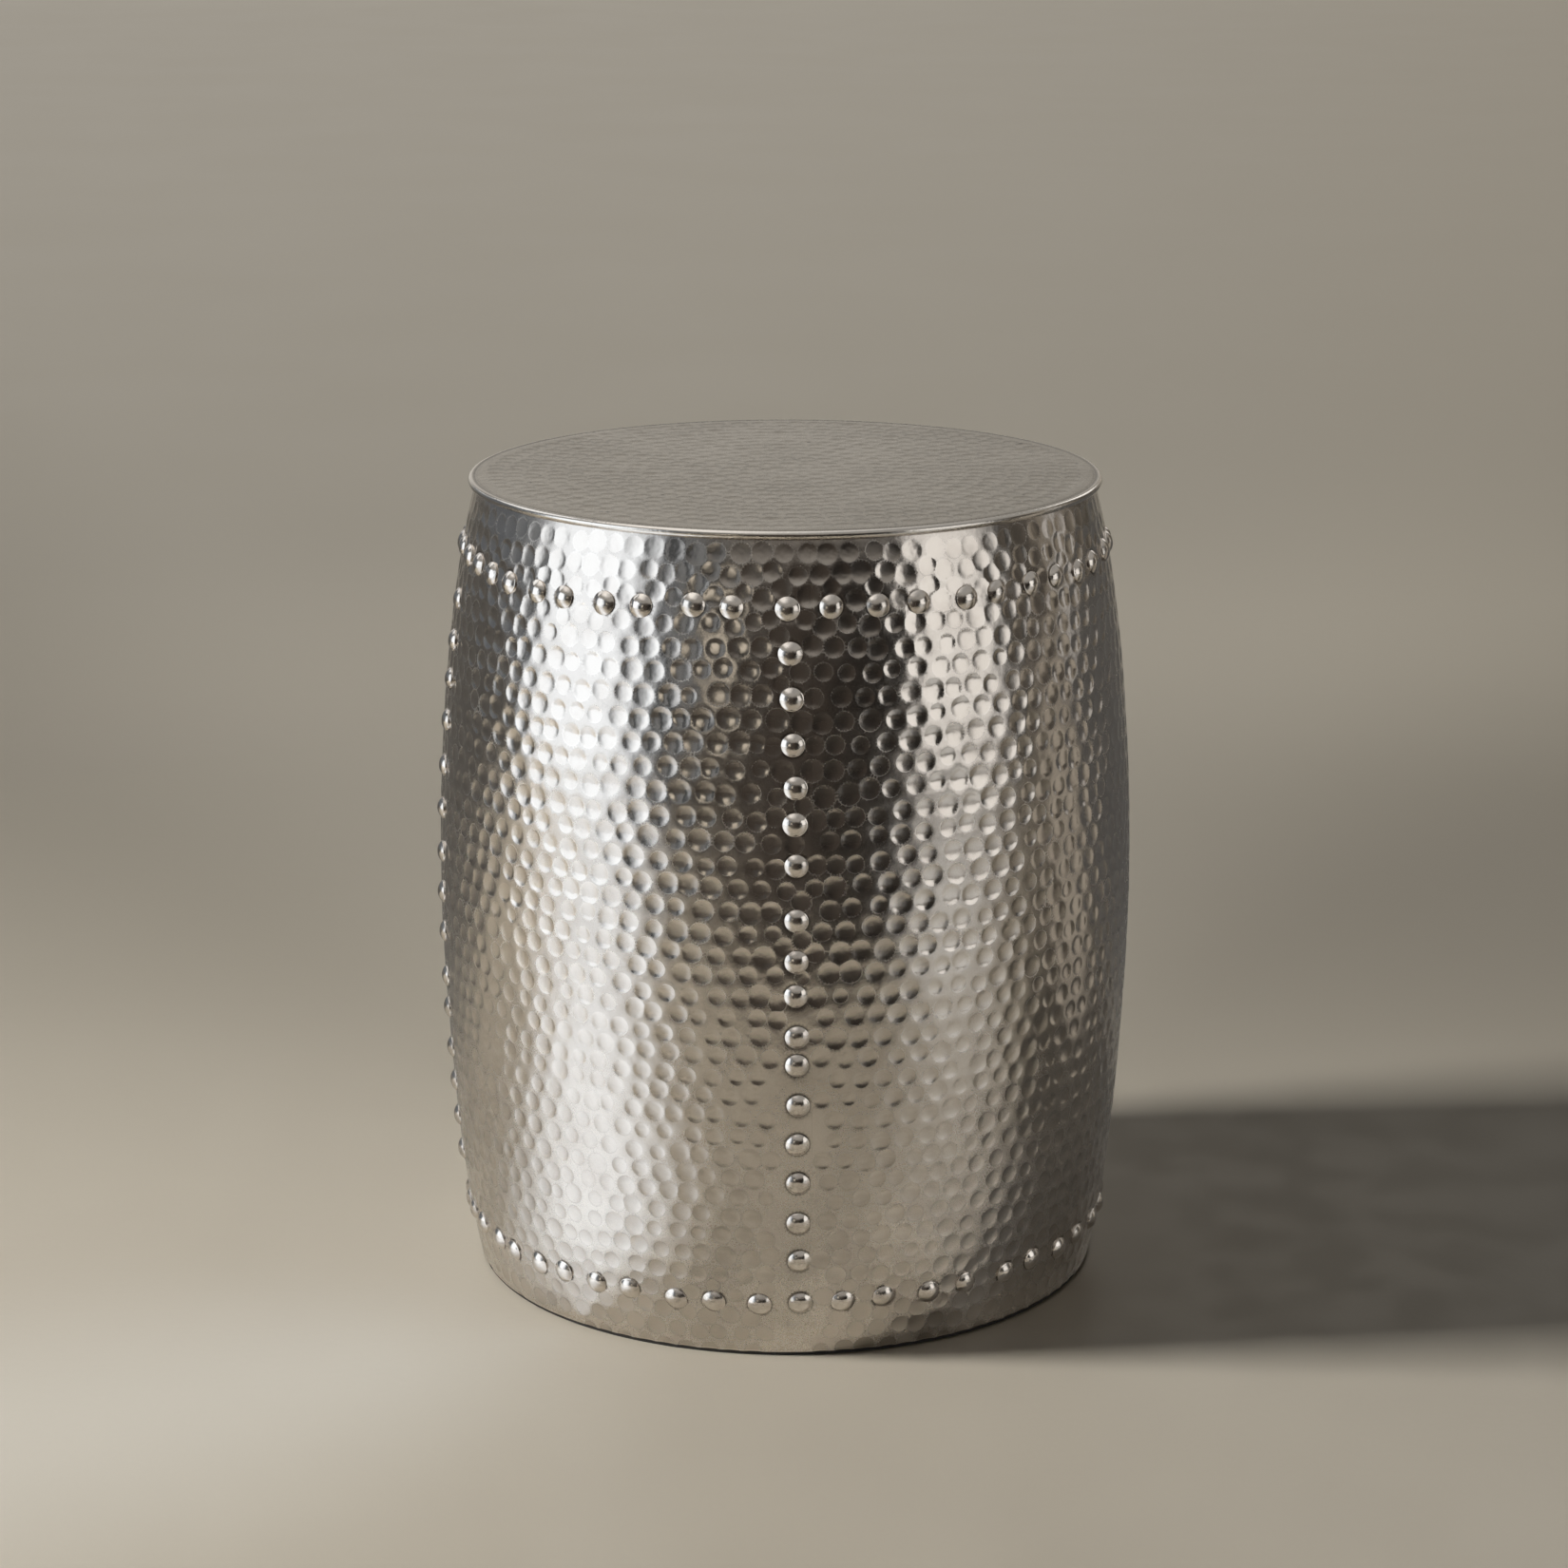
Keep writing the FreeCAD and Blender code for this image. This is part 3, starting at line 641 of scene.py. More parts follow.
# -------------------------------------------------------------------- table top
def build_top():
    """Hammered disc, beaten in loose rings, with its edge rolled down round the wire."""
    rng = np.random.default_rng(77)
    rim = TOP_RADIUS - BEAD_RADIUS
    seg = 360
    cx, cy = [0.0], [0.0]
    r = 10.8
    while r < rim - 6.0:
        count = int(round(2 * math.pi * r / 11.2))
        a = (np.arange(count) + rng.random() + rng.normal(0.0, 0.07, count)) * 2 * math.pi / count
        rr = r + rng.normal(0.0, 0.7, count) + 1.0 * np.sin(5.0 * a + r / 9.0)
        cx += (rr * np.cos(a)).tolist()
        cy += (rr * np.sin(a)).tolist()
        r += 10.8 + rng.normal(0.0, 0.25)
    cx, cy = np.array(cx), np.array(cy)
    n = len(cx)
    rad = np.clip(rng.normal(4.85, 0.42, n), 3.9, 5.8)
    dist = np.hypot(cx, cy)
    rad = np.minimum(rad, np.maximum(1.0, (rim - 0.8 - dist)))
    ok = rad > 2.2
    cx, cy, rad = cx[ok], cy[ok], rad[ok]
    n = len(cx)
    depth = 0.25 * (rad / 4.85) ** 2 * np.clip(rng.normal(1.0, 0.25, n), 0.4, 1.6)
    kap = depth / rad ** 2
    tree = kdtree.KDTree(n)
    for i in range(n):
        tree.insert((cx[i], cy[i], 0.0), i)
    tree.balance()
    near = np.full((n, 9), -1, int)
    for i in range(n):
        found = sorted((d, j) for co, j, d in tree.find_range((cx[i], cy[i], 0.0), 13.0))[:9]
        near[i, :len(found)] = [j for d, j in found]
    jx = np.where(near >= 0, cx[near] - cx[:, None], 1e6)
    jy = np.where(near >= 0, cy[near] - cy[:, None], 1e6)
    pts = [np.stack([cx, cy, depth], -1)]
    turn = rng.random(n) * 6.28
    for index, (f, extra, count) in enumerate([(0.5, 0.0, 6), (0.84, 0.0, 12), (1.0, 0.0, 14),
                                               (1.0, 0.42, 14)]):
        th = turn[:, None] + (np.arange(count)[None] + 0.5 * (index % 2)) * 2 * np.pi / count
        ex, ey = np.cos(th), np.sin(th)
        dot = ex[:, :, None] * jx[:, None] + ey[:, :, None] * jy[:, None]
        d2 = (jx ** 2 + jy ** 2)[:, None]
        a = kap[near][:, None] - kap[:, None, None]
        b = -2.0 * kap[near][:, None] * dot
        c = depth[:, None, None] - depth[near][:, None] + kap[near][:, None] * d2
        disc = b * b - 4 * a * c
        den = -b + np.sqrt(np.maximum(disc, 0.0))
        other = (near >= 0) & (near != np.arange(n)[:, None])
        with np.errstate(divide="ignore", invalid="ignore"):
            cross = np.where(other[:, None] & (disc > 0) & (den > 1e-12) & (c > 0), 2 * c / den, 1e6)
        cross = cross.min(-1)
        rho = np.broadcast_to(f * rad[:, None] + extra, cross.shape).copy()
        good = np.ones_like(rho, bool)
        if index < 2:
            good &= cross - 0.15 > (0.6 if index == 0 else 0.93) * rad[:, None]
        elif index == 2:
            rho = np.minimum(rho, cross - 0.15)
            good &= rho > 0.3 * rad[:, None]
        else:
            good &= cross > rad[:, None] + 0.5
        px, py = rho * ex, rho * ey
        dent = depth[near][:, None] - kap[near][:, None] * (
            (px[:, :, None] - jx[:, None]) ** 2 + (py[:, :, None] - jy[:, None]) ** 2)
        dent = np.where(near[:, None] >= 0, dent, -1.0).max(-1)
        if index == 3:
            good &= dent < 0
        pts.append(np.stack([cx[:, None] + px, cy[:, None] + py, np.maximum(dent, 0.0)], -1)[good])
    pts = np.concatenate(pts)
    pts = pts[np.hypot(pts[:, 0], pts[:, 1]) < rim - 0.8]
    th = np.arange(seg) * 2 * np.pi / seg

    def swell(x, y):
        """Slow unevenness of the flat disc, all of it below its highest level."""
        w = 0.05 * np.sin(x / 23.0 + 0.4) * np.cos(y / 29.0 - 0.9) + 0.05 * np.sin(
            (x + 0.7 * y) / 41.0 + 1.0) + 0.02 * np.sin(x / 7.9 - y / 9.1)
        return (w - 0.12) * (1.0 - ease(rim - 16.0, rim - 2.0, np.hypot(x, y)))

    ring = np.stack([rim * np.cos(th), rim * np.sin(th)], -1)
    # A narrow groove runs inside the rolled edge.
    groove = [(0.5, 0.0), (0.9, 0.14), (1.3, 0.25), (1.8, 0.20), (2.5, 0.05), (3.3, 0.0)]
    rings = [np.stack([(rim - off) * np.cos(th + 0.5 * (n % 2) * th[1]),
                       (rim - off) * np.sin(th + 0.5 * (n % 2) * th[1])], -1)
             for n, (off, _) in enumerate(groove, 1)]
    pts = pts[np.hypot(pts[:, 0], pts[:, 1]) < rim - 4.6]
    top = np.concatenate([ring] + rings + [pts[:, :2]])
    dent = np.concatenate([np.zeros(seg)] + [np.full(seg, low) for _, low in groove] + [pts[:, 2]])
    tris = triangulate(top)
    zz = HEIGHT + swell(top[:, 0], top[:, 1]) - dent
    verts = [np.stack([top[:, 0], top[:, 1], zz], -1)]
    faces = [tris]
    total = len(top)

    # Rolled edge: outer arc, cut end, inner arc, as rows of one ring each.
    bead_z = HEIGHT - BEAD_RADIUS
    inner = BEAD_RADIUS - TOP_SHEET
    rows = []
    steps = 30
    wob = (0.045 * np.sin(7 * th + 0.3) + 0.035 * np.sin(13 * th + 2.0) + 0.03 * np.sin(31 * th)
           + 0.018 * np.sin(57 * th + 1.0))
    for i in range(1, steps + 1):
        deg = 90.0 + (CURL_END_DEG - 360.0 - 90.0) * i / steps
        a = math.radians(deg)
        grow = BEAD_RADIUS - (0.10 + wob) * math.sin(math.pi * min(1.0, i / steps * 1.35)) ** 2 * 0.8
        rows.append(np.stack([(rim + grow * math.cos(a)) * np.cos(th),
                              (rim + grow * math.cos(a)) * np.sin(th),
                              bead_z + grow * math.sin(a)], -1))
    for i in range(15):
        deg = CURL_END_DEG - 360.0 + (90.0 + 360.0 - CURL_END_DEG) * i / 14
        a = math.radians(deg)
        rows.append(np.stack([(rim + inner * math.cos(a)) * np.cos(th),
                              (rim + inner * math.cos(a)) * np.sin(th),
                              np.full(seg, bead_z + inner * math.sin(a))], -1))
    i = np.arange(seg)
    j = (i + 1) % seg
    prev = i.copy()
    for row in rows:
        verts.append(row)
        cur = total + i
        faces.append(np.stack([prev, cur, cur[j]], -1))
        faces.append(np.stack([prev, cur[j], prev[j]], -1))
        prev = cur
        total += seg
    # Underside of the disc.
    under_r = np.array([150.0, 118.0, 84.0, 50.0, 20.0])
    for rr in under_r:
        verts.append(np.stack([rr * np.cos(th), rr * np.sin(th), np.full(seg, HEIGHT - TOP_SHEET)], -1))
        cur = total + i
        faces.append(np.stack([prev, cur, cur[j]], -1))
        faces.append(np.stack([prev, cur[j], prev[j]], -1))
        prev = cur
        total += seg
    verts.append(np.array([[0.0, 0.0, HEIGHT - TOP_SHEET]]))
    faces.append(np.stack([prev, np.full(seg, total), prev[j]], -1))
    v = np.concatenate(verts) * 0.001
    struck = np.full(len(v), -1.0)
    struck[:len(top)] = np.clip(dent / 0.25, 0.0, 1.0)
    # Azimuth here is counter-clockwise from +X, so faces already look outwards.
    obj = make_object("table_top", v, np.concatenate(faces), struck, angle=50.0)
    print("%-24s %7d tris" % (obj.name, len(obj.data.polygons)))
    return obj


# -------------------------------------------------------------------- materials
class Tree:
    """Small helper for building node trees."""

    def __init__(self, tree):
        self.tree = tree
        tree.nodes.clear()

    def add(self, kind, inputs=(), **props):
        node = self.tree.nodes.new(kind)
        for key, value in props.items():
            setattr(node, key, value)
        for key, value in dict(inputs).items():
            if isinstance(value, bpy.types.NodeSocket):
                self.tree.links.new(value, node.inputs[key])
            else:
                node.inputs[key].default_value = value
        return node

    def math(self, op, a, b=0.0, c=None, clamp=False):
        node = self.tree.nodes.new("ShaderNodeMath")
        node.operation = op
        node.use_clamp = clamp
        for index, value in enumerate((a, b) if c is None else (a, b, c)):
            if isinstance(value, bpy.types.NodeSocket):
                self.tree.links.new(value, node.inputs[index])
            else:
                node.inputs[index].default_value = value
        return node.outputs[0]

    def span(self, value, a, b, c, d, smooth=True):
        node = self.add("ShaderNodeMapRange", {0: value, 1: a, 2: b, 3: c, 4: d})
        node.interpolation_type = "SMOOTHSTEP" if smooth else "LINEAR"
        return node.outputs[0]

    def mix(self, fac, a, b):
        node = self.tree.nodes.new("ShaderNodeMix")
        node.data_type = "RGBA"
        for index, value in ((0, fac), (6, a), (7, b)):
            if isinstance(value, bpy.types.NodeSocket):
                self.tree.links.new(value, node.inputs[index])
            else:
                node.inputs[index].default_value = value
        return node.outputs[2]


def new_material(name):
    mat = bpy.data.materials.new(name)
    mat.use_nodes = True
    return mat, Tree(mat.node_tree)


def close(tree, shader_inputs, bump=None):
    if bump is not None:
        shader_inputs["Normal"] = bump
    shader = tree.add("ShaderNodeBsdfPrincipled", shader_inputs)
    out = tree.add("ShaderNodeOutputMaterial")
    tree.tree.links.new(shader.outputs[0], out.inputs[0])
    return shader


def sheet_material():
    """Polished above, satin below; above, the lands are painted darker than the struck faces and the rims carry
    a painted highlight; low down, the struck faces and rims are painted darker, as painted shade.
    """
    mat, t = new_material("hammered_sheet")
    co = t.add("ShaderNodeTexCoord").outputs["Object"]
    z = t.add("ShaderNodeSeparateXYZ", {0: co}).outputs[2]
    struck = t.add("ShaderNodeAttribute", attribute_name="struck").outputs["Fac"]
    land = t.span(struck, 0.0, 0.9, 1.0, 0.0)
    rim = t.math("MULTIPLY", t.span(struck, 0.12, 0.45, 0.0, 1.0), t.span(struck, 0.65, 0.95, 1.0, 0.0))
    grain = t.add("ShaderNodeTexNoise", {"Vector": co, "Scale": 1500.0, "Detail": 2.5,
                                         "Roughness": 0.6}).outputs[0]
    patch = t.add("ShaderNodeTexNoise", {"Vector": co, "Scale": 42.0, "Detail": 4.0,
                                         "Roughness": 0.62}).outputs[0]
    cloud = t.add("ShaderNodeTexNoise", {"Vector": co, "Scale": 9.0, "Detail": 3.0}).outputs[0]
    base = t.span(z, 0.075, 0.235, 0.200, 0.107)
    wear = t.span(patch, 0.38, 0.66, -0.02, 0.05)
    rough = t.math("ADD", base, wear)
    rough = t.math("ADD", rough, t.math("MULTIPLY", land, t.span(grain, 0.35, 0.65, 0.02, 0.11)))
    rough = t.math("MAXIMUM", rough, 0.05)
    tint = t.mix(t.span(cloud, 0.35, 0.7, 0.0, 1.0), (0.665, 0.618, 0.568, 1), (0.615, 0.568, 0.518, 1))
    tint = t.mix(t.span(patch, 0.42, 0.66, 0.0, 0.30), tint, (0.55, 0.49, 0.44, 1))
    high = t.span(z, 0.085, 0.235, 0.0, 1.0)
    low = t.math("SUBTRACT", 1.0, high)
    # Painted shade: above, the lands are painted darker; low down, where it is dull, the struck faces are.
    # Painted outlines: dark painted shade round the rims low down, a pale painted highlight round them above.
    colour = t.mix(t.math("MULTIPLY", land, t.math("MULTIPLY", high, 0.40)), tint, (0.50, 0.465, 0.43, 1))
    inside = t.span(struck, 0.2, 0.95, 0.0, 1.0)
    colour = t.mix(t.math("MULTIPLY", inside, t.math("MULTIPLY", low, 0.18)), colour, (0.47, 0.43, 0.39, 1))
    colour = t.mix(t.math("MULTIPLY", rim, t.math("MULTIPLY", low, 0.32)), colour, (0.40, 0.365, 0.33, 1))
    colour = t.mix(t.math("MULTIPLY", rim, t.math("MULTIPLY", high, 0.20)), colour, (0.86, 0.82, 0.77, 1))
    # Rims and hollows are a little duller, so they catch light where the sheet mirrors a dark room.
    dull = t.math("MULTIPLY_ADD", high, t.span(patch, 0.38, 0.62, 0.02, 0.13), 0.05)
    rough = t.math("MULTIPLY_ADD", rim, dull, rough)
    rough = t.math("MULTIPLY_ADD", t.math("MULTIPLY", inside, high), 0.03, rough)
    # Painted contact shadow: a dark ring painted round each rivet's seat, under the head.
    rivet_shadow = t.span(struck, -1.0, -0.12, 0.72, 0.0)
    colour = t.mix(rivet_shadow, colour, (0.10, 0.085, 0.07, 1))
    amount = t.math("MULTIPLY_ADD", land, 0.34, 0.10)
    amount = t.math("MULTIPLY", amount, t.span(z, 0.06, 0.20, 0.45, 1.0))
    height = t.math("MULTIPLY", grain, amount)
    fine = t.add("ShaderNodeBump", {"Strength": 1.0, "Distance": 0.00004, "Height": height}).outputs[0]
    ripple = t.add("ShaderNodeTexNoise", {"Vector": co, "Scale": 230.0, "Detail": 1.0}).outputs[0]
    fine = t.add("ShaderNodeBump", {"Strength": 1.0, "Distance": 0.00008, "Height": ripple,
                                    "Normal": fine}).outputs[0]
    close(t, {"Base Color": colour, "Metallic": 1.0, "Roughness": rough}, fine)
    return mat


def top_material():
    """Satin disc with fine tool marks and a few dark pits, painted shade in rings round its hollows and in the
    groove inside the edge; its rolled edge is rubbed bright.
    """
    mat, t = new_material("hammered_top")
    co = t.add("ShaderNodeTexCoord").outputs["Object"]
    parts = t.add("ShaderNodeSeparateXYZ", {0: co})
    x, y = parts.outputs[0], parts.outputs[1]
    far = t.math("POWER", t.math("ADD", t.math("MULTIPLY", x, x), t.math("MULTIPLY", y, y)), 0.5)
    edge = t.span(far, 0.1744, 0.1754, 0.0, 1.0)
    grain = t.add("ShaderNodeTexNoise", {"Vector": co, "Scale": 1100.0, "Detail": 2.0,
                                         "Roughness": 0.65}).outputs[0]
    marks = t.add("ShaderNodeTexNoise", {"Vector": co, "Scale": 330.0, "Detail": 3.0,
                                         "Roughness": 0.6}).outputs[0]
    cloud = t.add("ShaderNodeTexNoise", {"Vector": co, "Scale": 14.0, "Detail": 5.0}).outputs[0]
    pits = t.add("ShaderNodeTexVoronoi", {"Vector": co, "Scale": 66.0, "Randomness": 1.0}).outputs[0]
    pit = t.span(pits, 0.055, 0.115, 1.0, 0.0)
    chance = t.add("ShaderNodeTexNoise", {"Vector": co, "Scale": 38.0, "Detail": 1.0}).outputs[0]
    pit = t.math("MULTIPLY", pit, t.span(chance, 0.49, 0.55, 0.0, 1.0))
    rough = t.math("ADD", t.span(cloud, 0.3, 0.7, 0.25, 0.29), t.span(grain, 0.3, 0.7, -0.03, 0.04))
    rough = t.math("SUBTRACT", rough, t.math("MULTIPLY", edge, 0.12))
    colour = t.mix(t.span(marks, 0.30, 0.70, 0.0, 1.0), (0.460, 0.421, 0.368, 1), (0.352, 0.320, 0.277, 1))
    struck = t.add("ShaderNodeAttribute", attribute_name="struck").outputs["Fac"]
    # Painted shade: a dark ring painted round the rim of each hollow, stronger in patches.
    ring = t.math("MULTIPLY", t.span(struck, -0.02, 0.06, 0.0, 1.0), t.span(struck, 0.12, 0.62, 1.0, 0.0))
    ring = t.math("MULTIPLY", ring, t.span(cloud, 0.34, 0.62, 0.22, 0.62))
    colour = t.mix(ring, colour, (0.17, 0.155, 0.13, 1))
    colour = t.mix(edge, colour, (0.68, 0.64, 0.59, 1))
    # Painted shade: a dark line painted in the groove inside the rolled edge.
    groove_shade = t.math("MULTIPLY", t.span(far, 0.1729, 0.1735, 0.0, 0.62), t.span(far, 0.1740, 0.1745, 1.0, 0.0))
    colour = t.mix(groove_shade, colour, (0.08, 0.07, 0.06, 1))
    colour = t.mix(t.math("MULTIPLY", pit, 0.8), colour, (0.06, 0.05, 0.04, 1))
    height = t.math("SUBTRACT", t.math("MULTIPLY", grain, 0.25), pit)
    height = t.math("MULTIPLY_ADD", marks, 1.6, height)
    fine = t.add("ShaderNodeBump", {"Strength": 1.0, "Distance": 0.00007, "Height": height}).outputs[0]
    close(t, {"Base Color": colour, "Metallic": 1.0, "Roughness": rough}, fine)
    return mat


def rivet_material():
    mat, t = new_material("rivet")
    co = t.add("ShaderNodeTexCoord").outputs["Object"]
    grain = t.add("ShaderNodeTexNoise", {"Vector": co, "Scale": 900.0, "Detail": 3.0}).outputs[0]
    patch = t.add("ShaderNodeTexNoise", {"Vector": co, "Scale": 160.0, "Detail": 3.0}).outputs[0]
    rough = t.math("ADD", t.span(patch, 0.35, 0.65, 0.10, 0.19), t.span(grain, 0.4, 0.6, -0.02, 0.03))
    colour = t.mix(t.span(patch, 0.35, 0.7, 0.0, 1.0), (0.74, 0.69, 0.635, 1), (0.63, 0.58, 0.53, 1))
    height = t.math("MULTIPLY_ADD", grain, 0.10, patch)
    fine = t.add("ShaderNodeBump", {"Strength": 1.0, "Distance": 0.00034, "Height": height}).outputs[0]
    close(t, {"Base Color": colour, "Metallic": 1.0, "Roughness": rough}, fine)
    return mat


def steel_material():
    mat, t = new_material("steel")
    co = t.add("ShaderNodeTexCoord").outputs["Object"]
    mill = t.add("ShaderNodeTexNoise", {"Vector": co, "Scale": 300.0, "Detail": 4.0}).outputs[0]
    cloud = t.add("ShaderNodeTexNoise", {"Vector": co, "Scale": 18.0, "Detail": 5.0}).outputs[0]
    rough = t.math("ADD", t.span(cloud, 0.3, 0.7, 0.34, 0.52), t.span(mill, 0.3, 0.7, -0.04, 0.05))
    colour = t.mix(t.span(cloud, 0.3, 0.7, 0.0, 1.0), (0.44, 0.43, 0.42, 1), (0.33, 0.315, 0.30, 1))
    fine = t.add("ShaderNodeBump", {"Strength": 0.6, "Distance": 0.0001, "Height": mill}).outputs[0]
    close(t, {"Base Color": colour, "Metallic": 1.0, "Roughness": rough}, fine)
    return mat


def rubber_material():
    mat, t = new_material("foot_rubber")
    co = t.add("ShaderNodeTexCoord").outputs["Object"]
    grain = t.add("ShaderNodeTexNoise", {"Vector": co, "Scale": 700.0, "Detail": 3.0}).outputs[0]
    rough = t.span(grain, 0.3, 0.7, 0.62, 0.78)
    colour = t.mix(grain, (0.012, 0.011, 0.010, 1), (0.03, 0.028, 0.026, 1))
    fine = t.add("ShaderNodeBump", {"Strength": 0.5, "Distance": 0.0001, "Height": grain}).outputs[0]
    close(t, {"Base Color": colour, "Roughness": rough, "Metallic": 0.0}, fine)
    return mat


MATERIALS = {"hammered_sheet": sheet_material(), "hammered_top": top_material(),
             "rivet": rivet_material(), "steel": steel_material(),
             "foot_rubber": rubber_material()}


def finish_piece(obj, slot, *nodes):
    obj.data.materials.clear()
    obj.data.materials.append(MATERIALS[slot])
    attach(obj, "root")
    if nodes:
        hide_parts(*nodes)


# ------------------------------------------------------------------ the object
for index, stave in enumerate(STAVES):
    finish_piece(build_stave(stave, EDGES[index], EDGES[index + 1]), "hammered_sheet", stave)

for index, node in enumerate(RIVET_NODES):
    grip = 3.26 if "ring" in node else 3.96
    finish_piece(build_rivets("set_" + node, SEATS[node], grip, 300 + index), "rivet", node)

finish_piece(build_top(), "hammered_top", "top_disc")

for node, slot in [("rim_wire", "steel"), ("upper_hoop", "steel"), ("cross_brace_a", "steel"),
                   ("cross_brace_b", "steel"), ("lower_hoop", "steel"),
                   ("seam_strap_front", "steel"), ("seam_strap_right", "steel"),
                   ("seam_strap_back", "steel"), ("seam_strap_left", "steel"),
                   ("foot_ring", "foot_rubber")]:
    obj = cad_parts[node]
    obj.data.materials.clear()
    obj.data.materials.append(MATERIALS[slot])


# ----------------------------------------------------------------------- stage
def quad(name, corners):
    me = bpy.data.meshes.new(name)
    me.from_pydata(corners, [], [tuple(range(len(corners)))])
    me.uv_layers.new(name="UVMap")
    for loop, uv in zip(me.uv_layers[0].data, [(0, 0), (1, 0), (1, 1), (0, 1)]):
        loop.uv = uv
    obj = bpy.data.objects.new(name, me)
    bpy.context.scene.collection.objects.link(obj)
    return obj


def floor_material():
    mat, t = new_material("floor")
    co = t.add("ShaderNodeTexCoord").outputs["Object"]
    broad = t.add("ShaderNodeTexNoise", {"Vector": co, "Scale": 2.6, "Detail": 5.0,
                                         "Roughness": 0.55}).outputs[0]
    speck = t.add("ShaderNodeTexNoise", {"Vector": co, "Scale": 190.0, "Detail": 2.0}).outputs[0]
    colour = t.mix(t.span(broad, 0.3, 0.7, 0.0, 1.0), (0.545, 0.50, 0.42, 1), (0.56, 0.515, 0.435, 1))
    rough = t.span(broad, 0.3, 0.7, 0.36, 0.40)
    fine = t.add("ShaderNodeBump", {"Strength": 0.25, "Distance": 0.0004, "Height": speck}).outputs[0]
    close(t, {"Base Color": colour, "Roughness": rough, "Specular IOR Level": 0.28}, fine)
    return mat


floor = quad("floor", [(-14, -6, 0), (14, -6, 0), (14, 30, 0), (-14, 30, 0)])
floor.data.materials.append(floor_material())


def glow(name, colour, strength, soft_u0, soft_u1, soft_v0, soft_v1):
    """Emission that fades towards the edges of its panel."""
    mat, t = new_material(name)
    uv = t.add("ShaderNodeTexCoord").outputs["UV"]
    parts = t.add("ShaderNodeSeparateXYZ", {0: uv})
    u, v = parts.outputs[0], parts.outputs[1]
    power = strength
    for value, near, far in ((u, soft_u0, soft_u1), (v, soft_v0, soft_v1)):
        if near > 0.0:
            power = t.math("MULTIPLY", t.span(value, 0.0, near, 0.0, 1.0), power)
        if far > 0.0:
            power = t.math("MULTIPLY", t.span(value, 1.0 - far, 1.0, 1.0, 0.0), power)
    inputs = {"Color": colour + (1.0,), "Strength": power}
    light = t.add("ShaderNodeEmission", inputs)
    out = t.add("ShaderNodeOutputMaterial")
    t.tree.links.new(light.outputs[0], out.inputs[0])
    return mat


def panel(name, az0, az1, dist, z0, z1, colour, strength, soft=(0.0, 0.0, 0.0, 0.0), **sees):
    """Upright light panel facing the drum, between two azimuths at a distance."""
    mid = math.radians((az0 + az1) / 2.0)
    half = math.radians(abs(az1 - az0) / 2.0)
    to = Vector((math.sin(mid), -math.cos(mid), 0.0))
    side = Vector((math.cos(mid), math.sin(mid), 0.0))
    w = dist * math.tan(half)
    a, b = to * dist - side * w, to * dist + side * w
    obj = quad(name, [(a.x, a.y, z0), (b.x, b.y, z0), (b.x, b.y, z1), (a.x, a.y, z1)])
    obj.data.materials.append(glow(name, colour, strength, *soft))
    obj.visible_camera = False
    for key, value in sees.items():
        setattr(obj, key, value)
    return obj


# What the metal sees: a tall window on the left, a smaller one to the right of
# the camera, and strips round the back.  They don't light the floor.
METAL_ONLY = {"visible_diffuse": False, "visible_shadow": False}
panel("window_left", -99.0, -36.0, 2.0, 0.02, 1.45, (0.87, 0.94, 1.02), 1.70,
      (0.26, 0.40, 0.0, 0.10), **METAL_ONLY)
panel("window_right", 43.0, 82.0, 2.2, 0.05, 1.45, (1.0, 0.99, 0.97), 1.15,
      (0.0, 0.45, 0.04, 0.15), **METAL_ONLY)
panel("lit_wall", -28.5, -14.5, 2.6, 0.20, 1.22, (1.0, 0.92, 0.78), 0.86,
      (0.42, 0.34, 0.22, 0.7), **METAL_ONLY)
panel("sky_left", -152.0, -98.0, 2.4, 1.25, 3.6, (0.96, 0.98, 1.0), 1.3,
      (0.25, 0.25, 0.2, 0.2), **METAL_ONLY)
panel("strip_right", 104.0, 113.0, 2.2, 0.05, 1.3, (1.0, 0.97, 0.93), 0.60,
      (0.3, 0.3, 0.1, 0.2), **METAL_ONLY)
panel("window_back", 138.0, 160.0, 3.2, 1.0, 2.9, (1.0, 0.98, 0.95), 1.4,
      (0.2, 0.2, 0.2, 0.2), **METAL_ONLY)
panel("window_back_left", 206.0, 226.0, 3.2, 1.0, 2.9, (0.95, 0.97, 1.0), 1.1,
      (0.2, 0.2, 0.2, 0.2), **METAL_ONLY)


